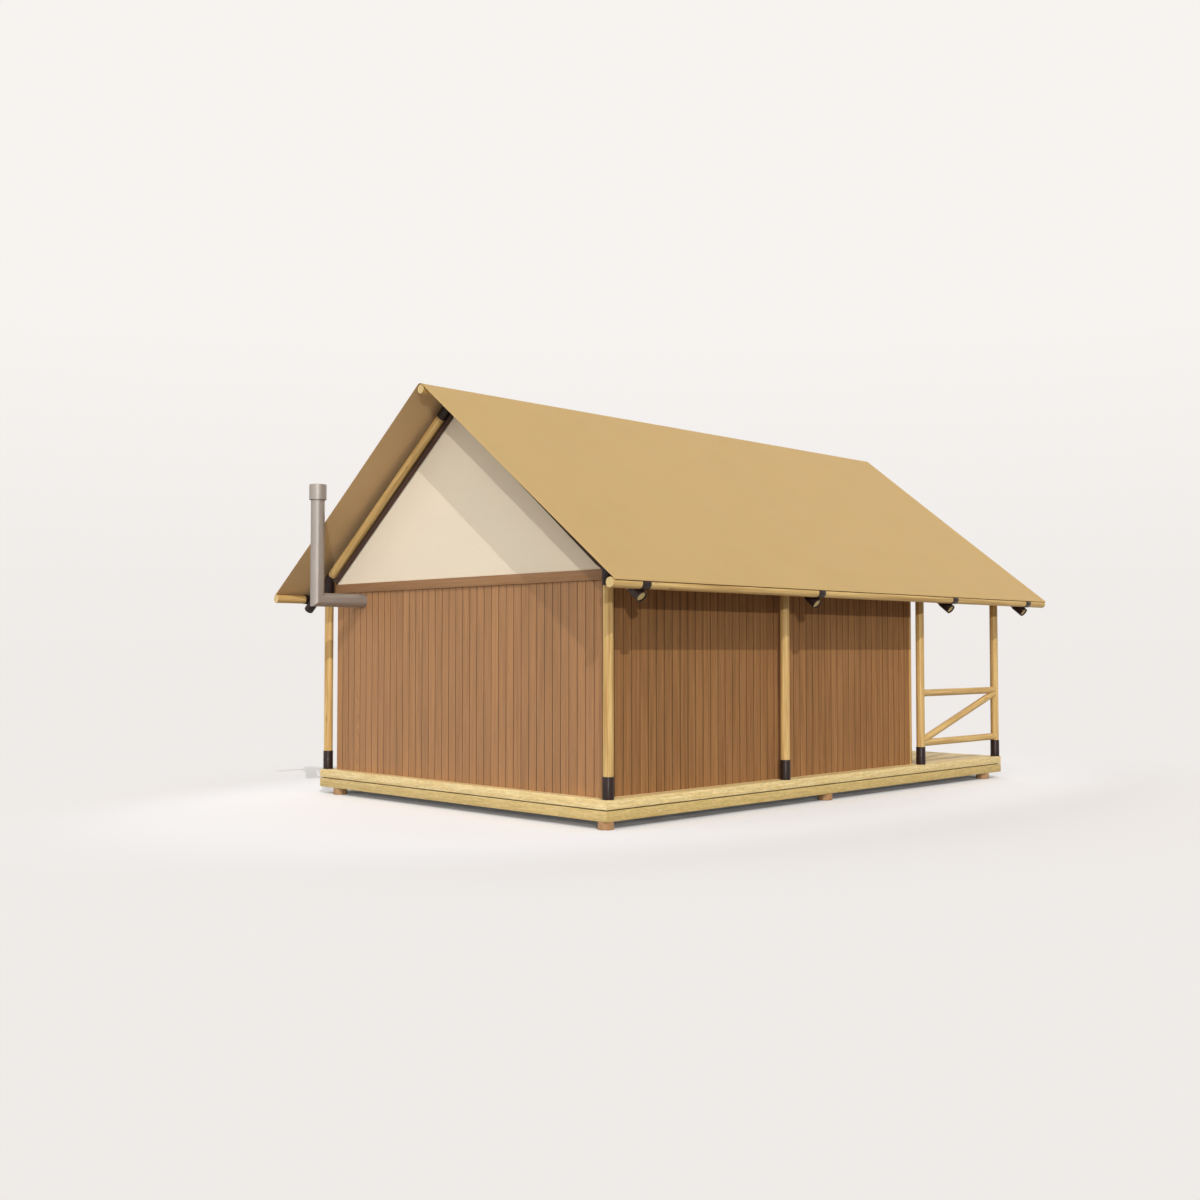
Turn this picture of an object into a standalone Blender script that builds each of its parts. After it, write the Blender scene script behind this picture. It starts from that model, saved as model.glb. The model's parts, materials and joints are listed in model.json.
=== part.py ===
"""Safari tent: a round-pole frame on a timber deck, a canvas fly over a boarded room, and a porch.

Metres. +X runs from the rear wall to the porch, +Y is the left side seen by someone who leaves
through the door, +Z is up and Z = 0 is the ground under the piers. Lengths along X are measured
from the rear posts; the empty TENT_ORIGIN moves them so that X = 0 is the middle of the tent.
"""

import math

import bmesh
import bpy
from mathutils import Matrix, Vector

# Clearance between pieces that touch, and the wall of every steel tube
GAP = 0.0003
TUBE_WALL = 0.0047

# Frame: four pairs of posts, the last pair on the porch
BAY = 2.65
PORCH_BAY = 1.77
POST_HALF_SPACING = 2.25
POST_RADIUS = 0.050
RAFTER_RADIUS = 0.050
BEAM_RADIUS = 0.048
RAIL_RADIUS = 0.042
POLE_SIDES = 16

# Deck: piers, joist frame and floor
PIER_SHOW = 0.075
PIER_RADIUS = 0.080
PIER_SIDES = 8
PIER_BEFORE_FRONT = 0.330
PIER_INSIDE_RIGHT = 0.080
PIER_INSIDE_LEFT = 0.300
FRAME_DEPTH = 0.107
FLOOR_DEPTH = 0.090
DECK_BESIDE_POSTS = 0.050
DECK_BEHIND_POSTS = 0.075
DECK_BEFORE_POSTS = 0.060
JOIST_WIDTH = 0.045
JOIST_PITCH = 0.567
FLOOR_BOARD_PITCH = 0.145
FLOOR_GROOVE_WIDTH = 0.006
FLOOR_GROOVE_DEPTH = 0.005

# Steel shoes under the posts
SHOE_HEIGHT = 0.208
SHOE_BASE = 0.006

# Beams and rafters, heights above the deck
RIDGE_HEIGHT = 4.009
EAVE_HEIGHT = 1.948
EAVE_BEYOND_POSTS = 0.440
BEAM_PAST_REAR = 0.430
BEAM_PAST_FRONT = 0.445
RAFTER_BELOW_RIDGE = 0.052
RAFTER_FROM_RIDGE = 0.066
RAFTER_PAST_EAVE = 0.044

# Steel fittings on the rafters
RING_LENGTH = 0.110
CLAMP_UP = 0.091
CLAMP_RECESS = 0.015
KNEE_UP = 0.077
KNEE_DOWN = 0.130
KNEE_SOCKET = 0.100
KNEE_SOCKET_WALL = 0.0058
RIDGE_SLEEVE = 0.256

# Fly sheet
FLY_THICKNESS = 0.004
FLY_WRAP_DEGREES = 63.0
FLY_ARC_STEPS = 4
FLY_PAST_RIDGE_REAR = 0.010
FLY_PAST_RIDGE_FRONT = 0.060
FLY_SHORT_OF_EAVE_REAR = 0.010
FLY_PAST_EAVE_FRONT = 0.010

# Room: boarded walls, header boards, inner roof and gable canvases
WALL_REAR_FACE = 0.040
WALL_BEHIND_PORCH_POSTS = 0.015
WALL_INSIDE_POSTS = 0.060
WALL_THICKNESS = 0.044
BOARD_PITCH = 0.1135
BOARD_GROOVE_WIDTH = 0.012
BOARD_GROOVE_DEPTH = 0.008
HEADER_HEIGHT = 0.100
HEADER_THICKNESS = 0.022
HEADER_OVERHANG = 0.012
CANVAS_THICKNESS = 0.006
ROOF_BELOW_RAFTER = 0.078
VALANCE_HEIGHT = 0.065
GABLE_BEHIND_HEADER = 0.012
GABLE_SIDE_CLEARANCE = 0.020
SKIRT_OVER_WALL = 0.045

# Double door in the front wall
DOORWAY_HALF_WIDTH = 0.800
DOORWAY_BELOW_HEADER = 0.060
DOOR_GAP = 0.004
DOOR_FOOT_GAP = 0.006
DOOR_THICKNESS = 0.040
STILE_WIDTH = 0.110
PANE_FOOT = 0.780
PANE_THICKNESS = 0.006
PANE_REBATE = 0.010
HINGE_RADIUS = 0.008
HINGE_STAND_OFF = 0.0006
HINGE_PIN_RADIUS = 0.004
HINGE_LENGTH = 0.045
HINGE_PLATE_WIDTH = 0.030
HINGE_PLATE = 0.003
HINGE_FROM_END = 0.250
SMALL_SIDES = 12

# Lever handle of the right-hand leaf
LEVER_HEIGHT = 1.030
LEVER_BACKSET = 0.055
LEVER_SPINDLE_RADIUS = 0.009
LEVER_CLEARANCE = 0.0005
LEVER_ROSE_RADIUS = 0.025
LEVER_ROSE_THICKNESS = 0.006
LEVER_STAND_OFF = 0.045
LEVER_LENGTH = 0.120
LEVER_RADIUS = 0.008

# Porch rails
RAIL_TOP_HEIGHT = 0.845
RAIL_FOOT_HEIGHT = 0.254
BRACE_FOOT_RISE = 0.018
BRACE_HEAD_DROP = 0.032

# Stove pipe through the rear wall
FLUE_RADIUS = 0.075
FLUE_WALL = 0.003
FLUE_SIDES = 24
FLUE_FROM_CORNER = 0.502
FLUE_BELOW_HEADER = 0.024
FLUE_BEHIND_FLY = 0.050
FLUE_RISE = 1.169
FLUE_INSIDE = 0.150
CAP_CLEARANCE = 0.016
CAP_WALL = 0.0025
CAP_BELOW_RIM = 0.079
CAP_ABOVE_RIM = 0.088
CAP_RIBS = 3
CAP_RIB_WIDTH = 0.004
CAP_RIB_REACH = 0.020

# Sizes that follow from those above
POST_ROWS = (0.0, BAY, 2 * BAY, 2 * BAY + PORCH_BAY)
SIDES = {"right": -1, "left": 1}
FLOOR_FOOT = PIER_SHOW + FRAME_DEPTH + GAP
DECK_TOP = FLOOR_FOOT + FLOOR_DEPTH
DECK_REAR = -DECK_BEHIND_POSTS
DECK_FRONT = POST_ROWS[-1] + DECK_BEFORE_POSTS
DECK_HALF_WIDTH = POST_HALF_SPACING + DECK_BESIDE_POSTS
SHOE_RADIUS = POST_RADIUS + GAP + TUBE_WALL
KNEE_RADIUS = POST_RADIUS + GAP + KNEE_SOCKET_WALL
SLEEVE_RADIUS = RAFTER_RADIUS + GAP + TUBE_WALL
RING_RADIUS = BEAM_RADIUS + GAP + TUBE_WALL
RIDGE_Z = DECK_TOP + RIDGE_HEIGHT
EAVE_Z = DECK_TOP + EAVE_HEIGHT
EAVE_HALF_SPAN = POST_HALF_SPACING + EAVE_BEYOND_POSTS
RAFTER_TOP_Z = RIDGE_Z - RAFTER_BELOW_RIDGE
RAFTER_UNDER_EAVE_BEAM = SLEEVE_RADIUS + GAP + BEAM_RADIUS
FLY_REAR_RIDGE = BEAM_PAST_REAR + FLY_PAST_RIDGE_REAR
FLY_REAR_EAVE = BEAM_PAST_REAR - FLY_SHORT_OF_EAVE_REAR
FLY_FRONT_RIDGE = BEAM_PAST_FRONT + FLY_PAST_RIDGE_FRONT
FLY_FRONT_EAVE = BEAM_PAST_FRONT + FLY_PAST_EAVE_FRONT
WALL_FRONT_FACE = POST_ROWS[-2] - WALL_BEHIND_PORCH_POSTS
WALL_HALF_WIDTH = POST_HALF_SPACING - POST_RADIUS - WALL_INSIDE_POSTS
FLUE_FROM_MIDDLE = WALL_HALF_WIDTH - FLUE_FROM_CORNER
CAP_RADIUS = FLUE_RADIUS + CAP_CLEARANCE + CAP_WALL
FLUE_BEHIND_POSTS = FLY_REAR_RIDGE + FLUE_BEHIND_FLY + FLUE_RADIUS
ORIGIN_X = (POST_ROWS[-1] + FLY_FRONT_RIDGE - FLUE_BEHIND_POSTS - CAP_RADIUS) / 2


def rafter_pitch():
    """The angle at which the rafter's axis passes the eave beam at its set distance."""
    drop = RAFTER_TOP_Z - EAVE_Z
    reach = math.hypot(EAVE_HALF_SPAN, drop)
    return math.atan2(drop, EAVE_HALF_SPAN) + math.asin(RAFTER_UNDER_EAVE_BEAM / reach)


PITCH = rafter_pitch()
DOWNHILL = Vector((0.0, -math.cos(PITCH), -math.sin(PITCH)))
RAFTER_TOP = Vector((0.0, 0.0, RAFTER_TOP_Z))


def rafter_z(y):
    """Height of the rafter's axis at a distance y from the middle of the tent."""
    return RAFTER_TOP_Z - abs(y) * math.tan(PITCH)


def on_rafter(distance):
    """A point on the right-hand rafter's axis, measured downhill from the ridge."""
    return RAFTER_TOP + distance * DOWNHILL


EAVE_FOOT = EAVE_HALF_SPAN * math.cos(PITCH) + (RAFTER_TOP_Z - EAVE_Z) * math.sin(PITCH)
KNEE_ON_RAFTER = POST_HALF_SPACING / math.cos(PITCH)
POST_TOP = rafter_z(POST_HALF_SPACING + KNEE_RADIUS) - SLEEVE_RADIUS / math.cos(PITCH) - GAP
SKIRT_FACE = WALL_HALF_WIDTH + GAP
INNER_ROOF_HALF_WIDTH = SKIRT_FACE + CANVAS_THICKNESS
WALL_FOOT = DECK_TOP + GAP
WALL_TOP = rafter_z(INNER_ROOF_HALF_WIDTH) - ROOF_BELOW_RAFTER - VALANCE_HEIGHT - GAP
DOORWAY_TOP = WALL_TOP - HEADER_HEIGHT - DOORWAY_BELOW_HEADER
LEAF_FOOT = DECK_TOP + DOOR_FOOT_GAP
LEAF_TOP = DOORWAY_TOP - DOOR_GAP
HINGE_PLACES = (LEAF_FOOT + HINGE_FROM_END, LEAF_TOP - HINGE_FROM_END)
FLUE_Z = WALL_TOP - HEADER_HEIGHT - FLUE_BELOW_HEADER - FLUE_RADIUS
FLUE_RIM = FLUE_Z + FLUE_RISE


def clear_scene():
    """Remove what the scene holds."""
    for obj in list(bpy.data.objects):
        bpy.data.objects.remove(obj, do_unlink=True)


def make_material(name, colour, roughness, metallic=0.0, alpha=1.0):
    """A Principled material in the piece's plain colour."""
    material = bpy.data.materials.new(name)
    material.use_nodes = True
    shader = material.node_tree.nodes["Principled BSDF"]
    shader.inputs["Base Color"].default_value = (*colour, 1.0)
    shader.inputs["Roughness"].default_value = roughness
    shader.inputs["Metallic"].default_value = metallic
    shader.inputs["Alpha"].default_value = alpha
    return material


def make_object(name, mesh_builder, material=None):
    """An object whose mesh holds the given bmesh."""
    bmesh.ops.recalc_face_normals(mesh_builder, faces=mesh_builder.faces)
    mesh = bpy.data.meshes.new(name)
    mesh_builder.to_mesh(mesh)
    mesh_builder.free()
    obj = bpy.data.objects.new(name, mesh)
    bpy.context.scene.collection.objects.link(obj)
    if material:
        mesh.materials.append(material)
    return obj


def flatten(shape):
    """Split every face of more than four corners, so that each face is exactly flat."""
    bmesh.ops.triangulate(shape, faces=[face for face in shape.faces if len(face.verts) > 4])


def pole_shape(start, end, radius, sides=POLE_SIDES):
    """A closed cylinder between two points."""
    start, end = Vector(start), Vector(end)
    shape = bmesh.new()
    bmesh.ops.create_cone(
        shape,
        cap_ends=True,
        segments=sides,
        radius1=radius,
        radius2=radius,
        depth=(end - start).length,
    )
    turn = Vector((0, 0, 1)).rotation_difference(end - start).to_matrix().to_4x4()
    spin = Matrix.Rotation(math.pi / sides, 4, "Z")
    shape.transform(Matrix.Translation((start + end) / 2) @ turn @ spin)
    flatten(shape)
    return shape


def box_shape(low, high):
    """A closed box between two corners."""
    low, high = Vector(low), Vector(high)
    shape = bmesh.new()
    bmesh.ops.create_cube(shape, size=1.0)
    size = Matrix.Diagonal((*(high - low), 1.0))
    shape.transform(Matrix.Translation((low + high) / 2) @ size)
    return shape


def prism_shape(outline, direction):
    """A closed solid whose base is the outline, a list of points, pushed along the direction."""
    shape = bmesh.new()
    base = shape.faces.new([shape.verts.new(point) for point in outline])
    pushed = bmesh.ops.extrude_face_region(shape, geom=[base])["geom"]
    moved = [item for item in pushed if isinstance(item, bmesh.types.BMVert)]
    bmesh.ops.translate(shape, vec=Vector(direction), verts=moved)
    flatten(shape)
    return shape


def together(shapes):
    """One bmesh that holds several shapes which don't touch."""
    result = bmesh.new()
    for shape in shapes:
        mesh = bpy.data.meshes.new("shape")
        shape.to_mesh(mesh)
        shape.free()
        result.from_mesh(mesh)
        bpy.data.meshes.remove(mesh)
    return result


def boolean(obj, shape, operation):
    """Join a shape to the object's mesh, or cut it out."""
    other = make_object(obj.name + "_" + operation.lower(), shape)
    other.hide_render = True
    other.display_type = "WIRE"
    modifier = obj.modifiers.new(operation.title(), "BOOLEAN")
    modifier.operation = operation
    modifier.solver = "EXACT"
    modifier.object = other
    graph = bpy.context.evaluated_depsgraph_get()
    mesh = bpy.data.meshes.new_from_object(obj.evaluated_get(graph))
    obj.modifiers.clear()
    result = bmesh.new()
    result.from_mesh(mesh)
    bmesh.ops.triangulate(result, faces=result.faces)
    result.to_mesh(mesh)
    result.free()
    obj.data = mesh
    bpy.data.objects.remove(other, do_unlink=True)


def shade_round(obj, degrees=40.0):
    """Smooth shading that keeps the edges sharper than the angle."""
    obj.data.shade_smooth()
    obj.data.set_sharp_from_angle(angle=math.radians(degrees))


def make_origin():
    """The empty that carries every piece."""
    origin = bpy.data.objects.new("TENT_ORIGIN", None)
    origin.location = (-ORIGIN_X, 0.0, 0.0)
    bpy.context.scene.collection.objects.link(origin)
    return origin


def make_hinge_empty(name, location, parent):
    """An empty on a joint's axis."""
    empty = bpy.data.objects.new(name, None)
    empty.location = location
    empty.parent = parent
    bpy.context.scene.collection.objects.link(empty)
    return empty


def place_in_rows(pattern, name, origin):
    """One copy of a right-hand piece at each post, the left ones turned half a turn."""
    for side, sign in SIDES.items():
        for row, along in enumerate(POST_ROWS, start=1):
            copy = bpy.data.objects.new(f"{name}_{side}_{row}", pattern.data)
            copy.location = (along, 0.0, 0.0)
            copy.rotation_euler = (0.0, 0.0, math.pi if sign > 0 else 0.0)
            copy.parent = origin
            bpy.context.scene.collection.objects.link(copy)
    bpy.data.objects.remove(pattern, do_unlink=True)


def place(obj, origin, rounded=False):
    """Hang a finished piece on the tent's origin."""
    if rounded:
        shade_round(obj)
    obj.parent = origin


def build_posts(wood, origin):
    """Round posts that stand in the shoes and end under the rafters."""
    foot = (0.0, -POST_HALF_SPACING, DECK_TOP + GAP + SHOE_BASE + GAP)
    head = (0.0, -POST_HALF_SPACING, POST_TOP)
    post = make_object("post", pole_shape(foot, head, POST_RADIUS), wood)
    shade_round(post)
    place_in_rows(post, "post", origin)


def build_shoes(steel, origin):
    """Steel cups that hold the posts on the deck."""
    foot = Vector((0.0, -POST_HALF_SPACING, DECK_TOP + GAP))
    rise = Vector((0.0, 0.0, 1.0))
    shoe = make_object("shoe", pole_shape(foot, foot + SHOE_HEIGHT * rise, SHOE_RADIUS), steel)
    bore_foot = foot + SHOE_BASE * rise
    bore_head = foot + 2 * SHOE_HEIGHT * rise
    boolean(shoe, pole_shape(bore_foot, bore_head, POST_RADIUS + GAP), "DIFFERENCE")
    shade_round(shoe)
    place_in_rows(shoe, "post_shoe", origin)


def build_rafters(wood, origin):
    """Rafters with the riveted clamp on the tail, whose ring holds the eave beam."""
    tail = EAVE_FOOT + RAFTER_PAST_EAVE
    sleeve_end = tail + CLAMP_RECESS
    beam = Vector((0.0, -EAVE_HALF_SPAN, EAVE_Z))
    along = Vector((1.0, 0.0, 0.0))
    half_ring = RING_LENGTH / 2 * along
    rafter = make_object(
        "rafter",
        pole_shape(on_rafter(RAFTER_FROM_RIDGE), on_rafter(tail), RAFTER_RADIUS),
        wood,
    )
    sleeve = pole_shape(on_rafter(EAVE_FOOT - CLAMP_UP), on_rafter(sleeve_end), SLEEVE_RADIUS)
    boolean(rafter, sleeve, "UNION")
    boolean(rafter, pole_shape(beam - half_ring, beam + half_ring, RING_RADIUS), "UNION")
    bore = pole_shape(beam - 2 * half_ring, beam + 2 * half_ring, BEAM_RADIUS + GAP)
    boolean(rafter, bore, "DIFFERENCE")
    recess = pole_shape(on_rafter(tail), on_rafter(sleeve_end + CLAMP_RECESS), RAFTER_RADIUS)
    boolean(rafter, recess, "DIFFERENCE")
    shade_round(rafter)
    place_in_rows(rafter, "rafter", origin)


def build_knee_brackets(steel, origin):
    """Steel brackets that join the post's head to the rafter which passes over it."""
    axis = Vector((0.0, -POST_HALF_SPACING, 0.0))
    upright = Vector((0.0, 0.0, 1.0))
    up, down = KNEE_ON_RAFTER - KNEE_UP, KNEE_ON_RAFTER + KNEE_DOWN
    foot = axis + (POST_TOP - KNEE_SOCKET) * upright
    head = axis + rafter_z(POST_HALF_SPACING) * upright
    knee = make_object("knee", pole_shape(on_rafter(up), on_rafter(down), SLEEVE_RADIUS), steel)
    boolean(knee, pole_shape(foot, head, KNEE_RADIUS), "UNION")
    bore = pole_shape(
        on_rafter(up - KNEE_UP), on_rafter(down + KNEE_UP), RAFTER_RADIUS + GAP
    )
    boolean(knee, bore, "DIFFERENCE")
    socket_head = axis + (POST_TOP + GAP) * upright
    socket = pole_shape(foot - KNEE_SOCKET * upright, socket_head, POST_RADIUS + GAP)
    boolean(knee, socket, "DIFFERENCE")
    shade_round(knee)
    place_in_rows(knee, "knee_bracket", origin)


def build_ridge_brackets(steel, origin):
    """Steel brackets that carry the ridge beam and take the heads of two rafters."""
    ridge = Vector((0.0, 0.0, RIDGE_Z))
    half_ring = Vector((RING_LENGTH / 2, 0.0, 0.0))
    turned = Matrix.Rotation(math.pi, 4, "Z")
    bracket = make_object(
        "ridge_bracket", pole_shape(ridge - half_ring, ridge + half_ring, RING_RADIUS), steel
    )
    for turn in (Matrix.Identity(4), turned):
        sleeve = pole_shape(on_rafter(0.0), on_rafter(RIDGE_SLEEVE), SLEEVE_RADIUS)
        sleeve.transform(turn)
        boolean(bracket, sleeve, "UNION")
    for turn in (Matrix.Identity(4), turned):
        socket = pole_shape(
            on_rafter(RAFTER_FROM_RIDGE - GAP), on_rafter(2 * RIDGE_SLEEVE), RAFTER_RADIUS + GAP
        )
        socket.transform(turn)
        boolean(bracket, socket, "DIFFERENCE")
    bore = pole_shape(ridge - 2 * half_ring, ridge + 2 * half_ring, BEAM_RADIUS + GAP)
    boolean(bracket, bore, "DIFFERENCE")
    shade_round(bracket)
    for row, along in enumerate(POST_ROWS, start=1):
        copy = bpy.data.objects.new(f"ridge_bracket_{row}", bracket.data)
        copy.location = (along, 0.0, 0.0)
        copy.parent = origin
        bpy.context.scene.collection.objects.link(copy)
    bpy.data.objects.remove(bracket, do_unlink=True)


def build_beams(wood, origin):
    """The ridge beam and the two eave beams, each in the rings of four fittings."""
    rear, front = -BEAM_PAST_REAR, POST_ROWS[-1] + BEAM_PAST_FRONT
    lines = {
        "ridge_beam": (0.0, RIDGE_Z),
        "eave_beam_right": (-EAVE_HALF_SPAN, EAVE_Z),
        "eave_beam_left": (EAVE_HALF_SPAN, EAVE_Z),
    }
    for name, (y, z) in lines.items():
        shape = pole_shape((rear, y, z), (front, y, z), BEAM_RADIUS)
        place(make_object(name, shape, wood), origin, rounded=True)


def fly_profile(radius):
    """The fly's line across the tent, at this distance from the axes of the three beams."""
    slope = math.atan2(RIDGE_Z - EAVE_Z, EAVE_HALF_SPAN)
    wrap = math.radians(FLY_WRAP_DEGREES)
    half = []
    for step in range(FLY_ARC_STEPS + 1):
        angle = slope * step / FLY_ARC_STEPS
        half.append((radius * math.sin(angle), RIDGE_Z + radius * math.cos(angle)))
    for step in range(FLY_ARC_STEPS + 1):
        angle = slope + (wrap - slope) * step / FLY_ARC_STEPS
        half.append(
            (EAVE_HALF_SPAN + radius * math.sin(angle), EAVE_Z + radius * math.cos(angle))
        )
    return [(-y, z) for y, z in reversed(half[1:])] + half


def fly_end(y, at_ridge, at_eave):
    """How far the fly passes the end posts, at a distance y from the middle."""
    return at_ridge + (at_eave - at_ridge) * abs(y) / EAVE_HALF_SPAN


def build_fly(canvas, origin):
    """The outer canvas over the ridge beam, wrapped round the eave beams."""
    inner = fly_profile(RING_RADIUS + GAP)
    outer = fly_profile(RING_RADIUS + GAP + FLY_THICKNESS)
    shape = bmesh.new()
    rings = []
    for sign, base, ridge, eave in (
        (-1, 0.0, FLY_REAR_RIDGE, FLY_REAR_EAVE),
        (1, POST_ROWS[-1], FLY_FRONT_RIDGE, FLY_FRONT_EAVE),
    ):
        points = outer + inner[::-1]
        ring = [shape.verts.new((base + sign * fly_end(y, ridge, eave), y, z)) for y, z in points]
        rings.append(ring)
    count, half = len(rings[0]), len(outer)
    for i in range(count):
        j = (i + 1) % count
        shape.faces.new((rings[0][i], rings[0][j], rings[1][j], rings[1][i]))
    for ring in rings:
        for i in range(half - 1):
            shape.faces.new((ring[i], ring[i + 1], ring[count - 2 - i], ring[count - 1 - i]))
    bmesh.ops.triangulate(shape, faces=shape.faces)
    place(make_object("fly_roof", shape, canvas), origin, rounded=True)


def chevron(half_width, drop, rise):
    """An upside-down V under the rafters: its top edge lies drop below the rafters' axis."""
    low = [(-half_width, rafter_z(half_width) - drop), (0.0, rafter_z(0.0) - drop)]
    low.append((half_width, rafter_z(half_width) - drop))
    return low + [(y, z - rise) for y, z in reversed(low)]


def header_faces(front):
    """Where the header board of an end wall starts and ends along X, the wall side first."""
    if front:
        return WALL_FRONT_FACE + GAP, WALL_FRONT_FACE + GAP + HEADER_THICKNESS
    return WALL_REAR_FACE - GAP, WALL_REAR_FACE - GAP - HEADER_THICKNESS


def build_inner_roof(canvas, origin):
    """The dark inner roof under the rafters, with a valance at each end and a skirt at each side."""
    rear, front = header_faces(False)[1], header_faces(True)[1]
    thick = CANVAS_THICKNESS / math.cos(PITCH)
    half_width = INNER_ROOF_HALF_WIDTH
    outline = [(rear, y, z) for y, z in chevron(half_width, ROOF_BELOW_RAFTER, thick)]
    roof = make_object("inner_roof", prism_shape(outline, (front - rear, 0.0, 0.0)), canvas)
    band = chevron(half_width, ROOF_BELOW_RAFTER + thick / 2, VALANCE_HEIGHT - thick / 2)
    for x in (rear, front - CANVAS_THICKNESS):
        strip = prism_shape([(x, y, z) for y, z in band], (CANVAS_THICKNESS, 0.0, 0.0))
        boolean(roof, strip, "UNION")
    skirt_top = rafter_z(half_width) - ROOF_BELOW_RAFTER - thick / 2
    for y in (-half_width, SKIRT_FACE):
        low = (WALL_REAR_FACE + GAP, y, WALL_TOP - SKIRT_OVER_WALL)
        high = (WALL_FRONT_FACE - GAP, y + CANVAS_THICKNESS, skirt_top)
        boolean(roof, box_shape(low, high), "UNION")
    place(roof, origin)


def build_gables(canvas, origin):
    """The canvases that close the room over its end walls."""
    half = WALL_HALF_WIDTH - GABLE_SIDE_CLEARANCE
    under_roof = ROOF_BELOW_RAFTER + CANVAS_THICKNESS / math.cos(PITCH) + GAP
    outline = [
        (-half, WALL_TOP + GAP),
        (half, WALL_TOP + GAP),
        (half, rafter_z(half) - under_roof),
        (0.0, rafter_z(0.0) - under_roof),
        (-half, rafter_z(half) - under_roof),
    ]
    for name, front in (("gable_canvas_rear", False), ("gable_canvas_front", True)):
        outward = 1 if front else -1
        x = header_faces(front)[1] - outward * GABLE_BEHIND_HEADER
        points = [(x, y, z) for y, z in outline]
        shape = prism_shape(points, (-outward * CANVAS_THICKNESS, 0.0, 0.0))
        place(make_object(name, shape, canvas), origin)


def boarded_outline(start, end, face, back):
    """A board wall seen from above: V-grooves between the boards on its face, a plain back."""
    count = round((end - start) / BOARD_PITCH)
    pitch = (end - start) / count
    inward = math.copysign(BOARD_GROOVE_DEPTH, back - face)
    outline = [(start, back), (start, face)]
    for board in range(1, count):
        middle = start + board * pitch
        outline.append((middle - BOARD_GROOVE_WIDTH / 2, face))
        outline.append((middle, face + inward))
        outline.append((middle + BOARD_GROOVE_WIDTH / 2, face))
    return outline + [(end, face), (end, back)]


def build_walls(cladding, origin):
    """Vertical board walls: the end walls run the full width and the side walls stand between."""
    rise = (0.0, 0.0, WALL_TOP - WALL_FOOT)
    for name, face, inward in (
        ("wall_rear", WALL_REAR_FACE, 1),
        ("wall_front", WALL_FRONT_FACE, -1),
    ):
        back = face + inward * WALL_THICKNESS
        outline = boarded_outline(-WALL_HALF_WIDTH, WALL_HALF_WIDTH, face, back)
        shape = prism_shape([(x, y, WALL_FOOT) for y, x in outline], rise)
        wall = make_object(name, shape, cladding)
        if inward > 0:
            axis = (FLUE_FROM_MIDDLE, FLUE_Z)
            hole = pole_shape(
                (face - WALL_THICKNESS, *axis),
                (back + WALL_THICKNESS, *axis),
                FLUE_RADIUS + GAP,
                FLUE_SIDES,
            )
            boolean(wall, hole, "DIFFERENCE")
        else:
            low = (back - WALL_THICKNESS, -DOORWAY_HALF_WIDTH, WALL_FOOT - WALL_THICKNESS)
            high = (face + WALL_THICKNESS, DOORWAY_HALF_WIDTH, DOORWAY_TOP)
            boolean(wall, box_shape(low, high), "DIFFERENCE")
            for sign in SIDES.values():
                for middle in HINGE_PLACES:
                    add_wall_hinge(wall, sign, middle)
        place(wall, origin)
    start = WALL_REAR_FACE + WALL_THICKNESS + GAP
    end = WALL_FRONT_FACE - WALL_THICKNESS - GAP
    for side, sign in SIDES.items():
        face = sign * WALL_HALF_WIDTH
        outline = boarded_outline(start, end, face, face - sign * WALL_THICKNESS)
        shape = prism_shape([(x, y, WALL_FOOT) for x, y in outline], rise)
        place(make_object(f"wall_{side}", shape, cladding), origin)


def hinge_axis(sign):
    """The vertical axis of a leaf's hinges, just proud of the wall's face."""
    proud = WALL_FRONT_FACE + HINGE_RADIUS + HINGE_STAND_OFF
    return Vector((proud, sign * (DOORWAY_HALF_WIDTH - DOOR_GAP / 2), 0.0))


def add_wall_hinge(wall, sign, middle):
    """The lower half of a lift-off hinge, on the door jamb."""
    axis = hinge_axis(sign)
    up = Vector((0.0, 0.0, 1.0))
    foot, head = axis + (middle - HINGE_LENGTH) * up, axis + middle * up
    edges = sorted((axis.y, axis.y + sign * HINGE_PLATE_WIDTH))
    low = (WALL_FRONT_FACE - HINGE_PLATE, edges[0], foot.z)
    high = (WALL_FRONT_FACE + HINGE_PLATE, edges[1], head.z)
    boolean(wall, box_shape(low, high), "UNION")
    boolean(wall, pole_shape(foot, head, HINGE_RADIUS, SMALL_SIDES), "UNION")
    bore = pole_shape(foot - GAP * up, head + up * GAP, HINGE_PIN_RADIUS + GAP, SMALL_SIDES)
    boolean(wall, bore, "DIFFERENCE")


def build_headers(wood, origin):
    """Boards that cap the end walls on the outside."""
    half = WALL_HALF_WIDTH + HEADER_OVERHANG
    for name, front in (("header_rear", False), ("header_front", True)):
        near, far = header_faces(front)
        low = (min(near, far), -half, WALL_TOP - HEADER_HEIGHT)
        high = (max(near, far), half, WALL_TOP)
        place(make_object(name, box_shape(low, high), wood), origin)


def leaf_box(sign):
    """A closed leaf's corners, measured from its hinge axis."""
    axis = hinge_axis(sign)
    outer = WALL_FRONT_FACE - axis.x
    edges = sorted((sign * (DOORWAY_HALF_WIDTH - DOOR_GAP) - axis.y, sign * DOOR_GAP / 2 - axis.y))
    low = Vector((outer - DOOR_THICKNESS, edges[0], LEAF_FOOT))
    high = Vector((outer, edges[1], LEAF_TOP))
    return low, high


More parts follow.
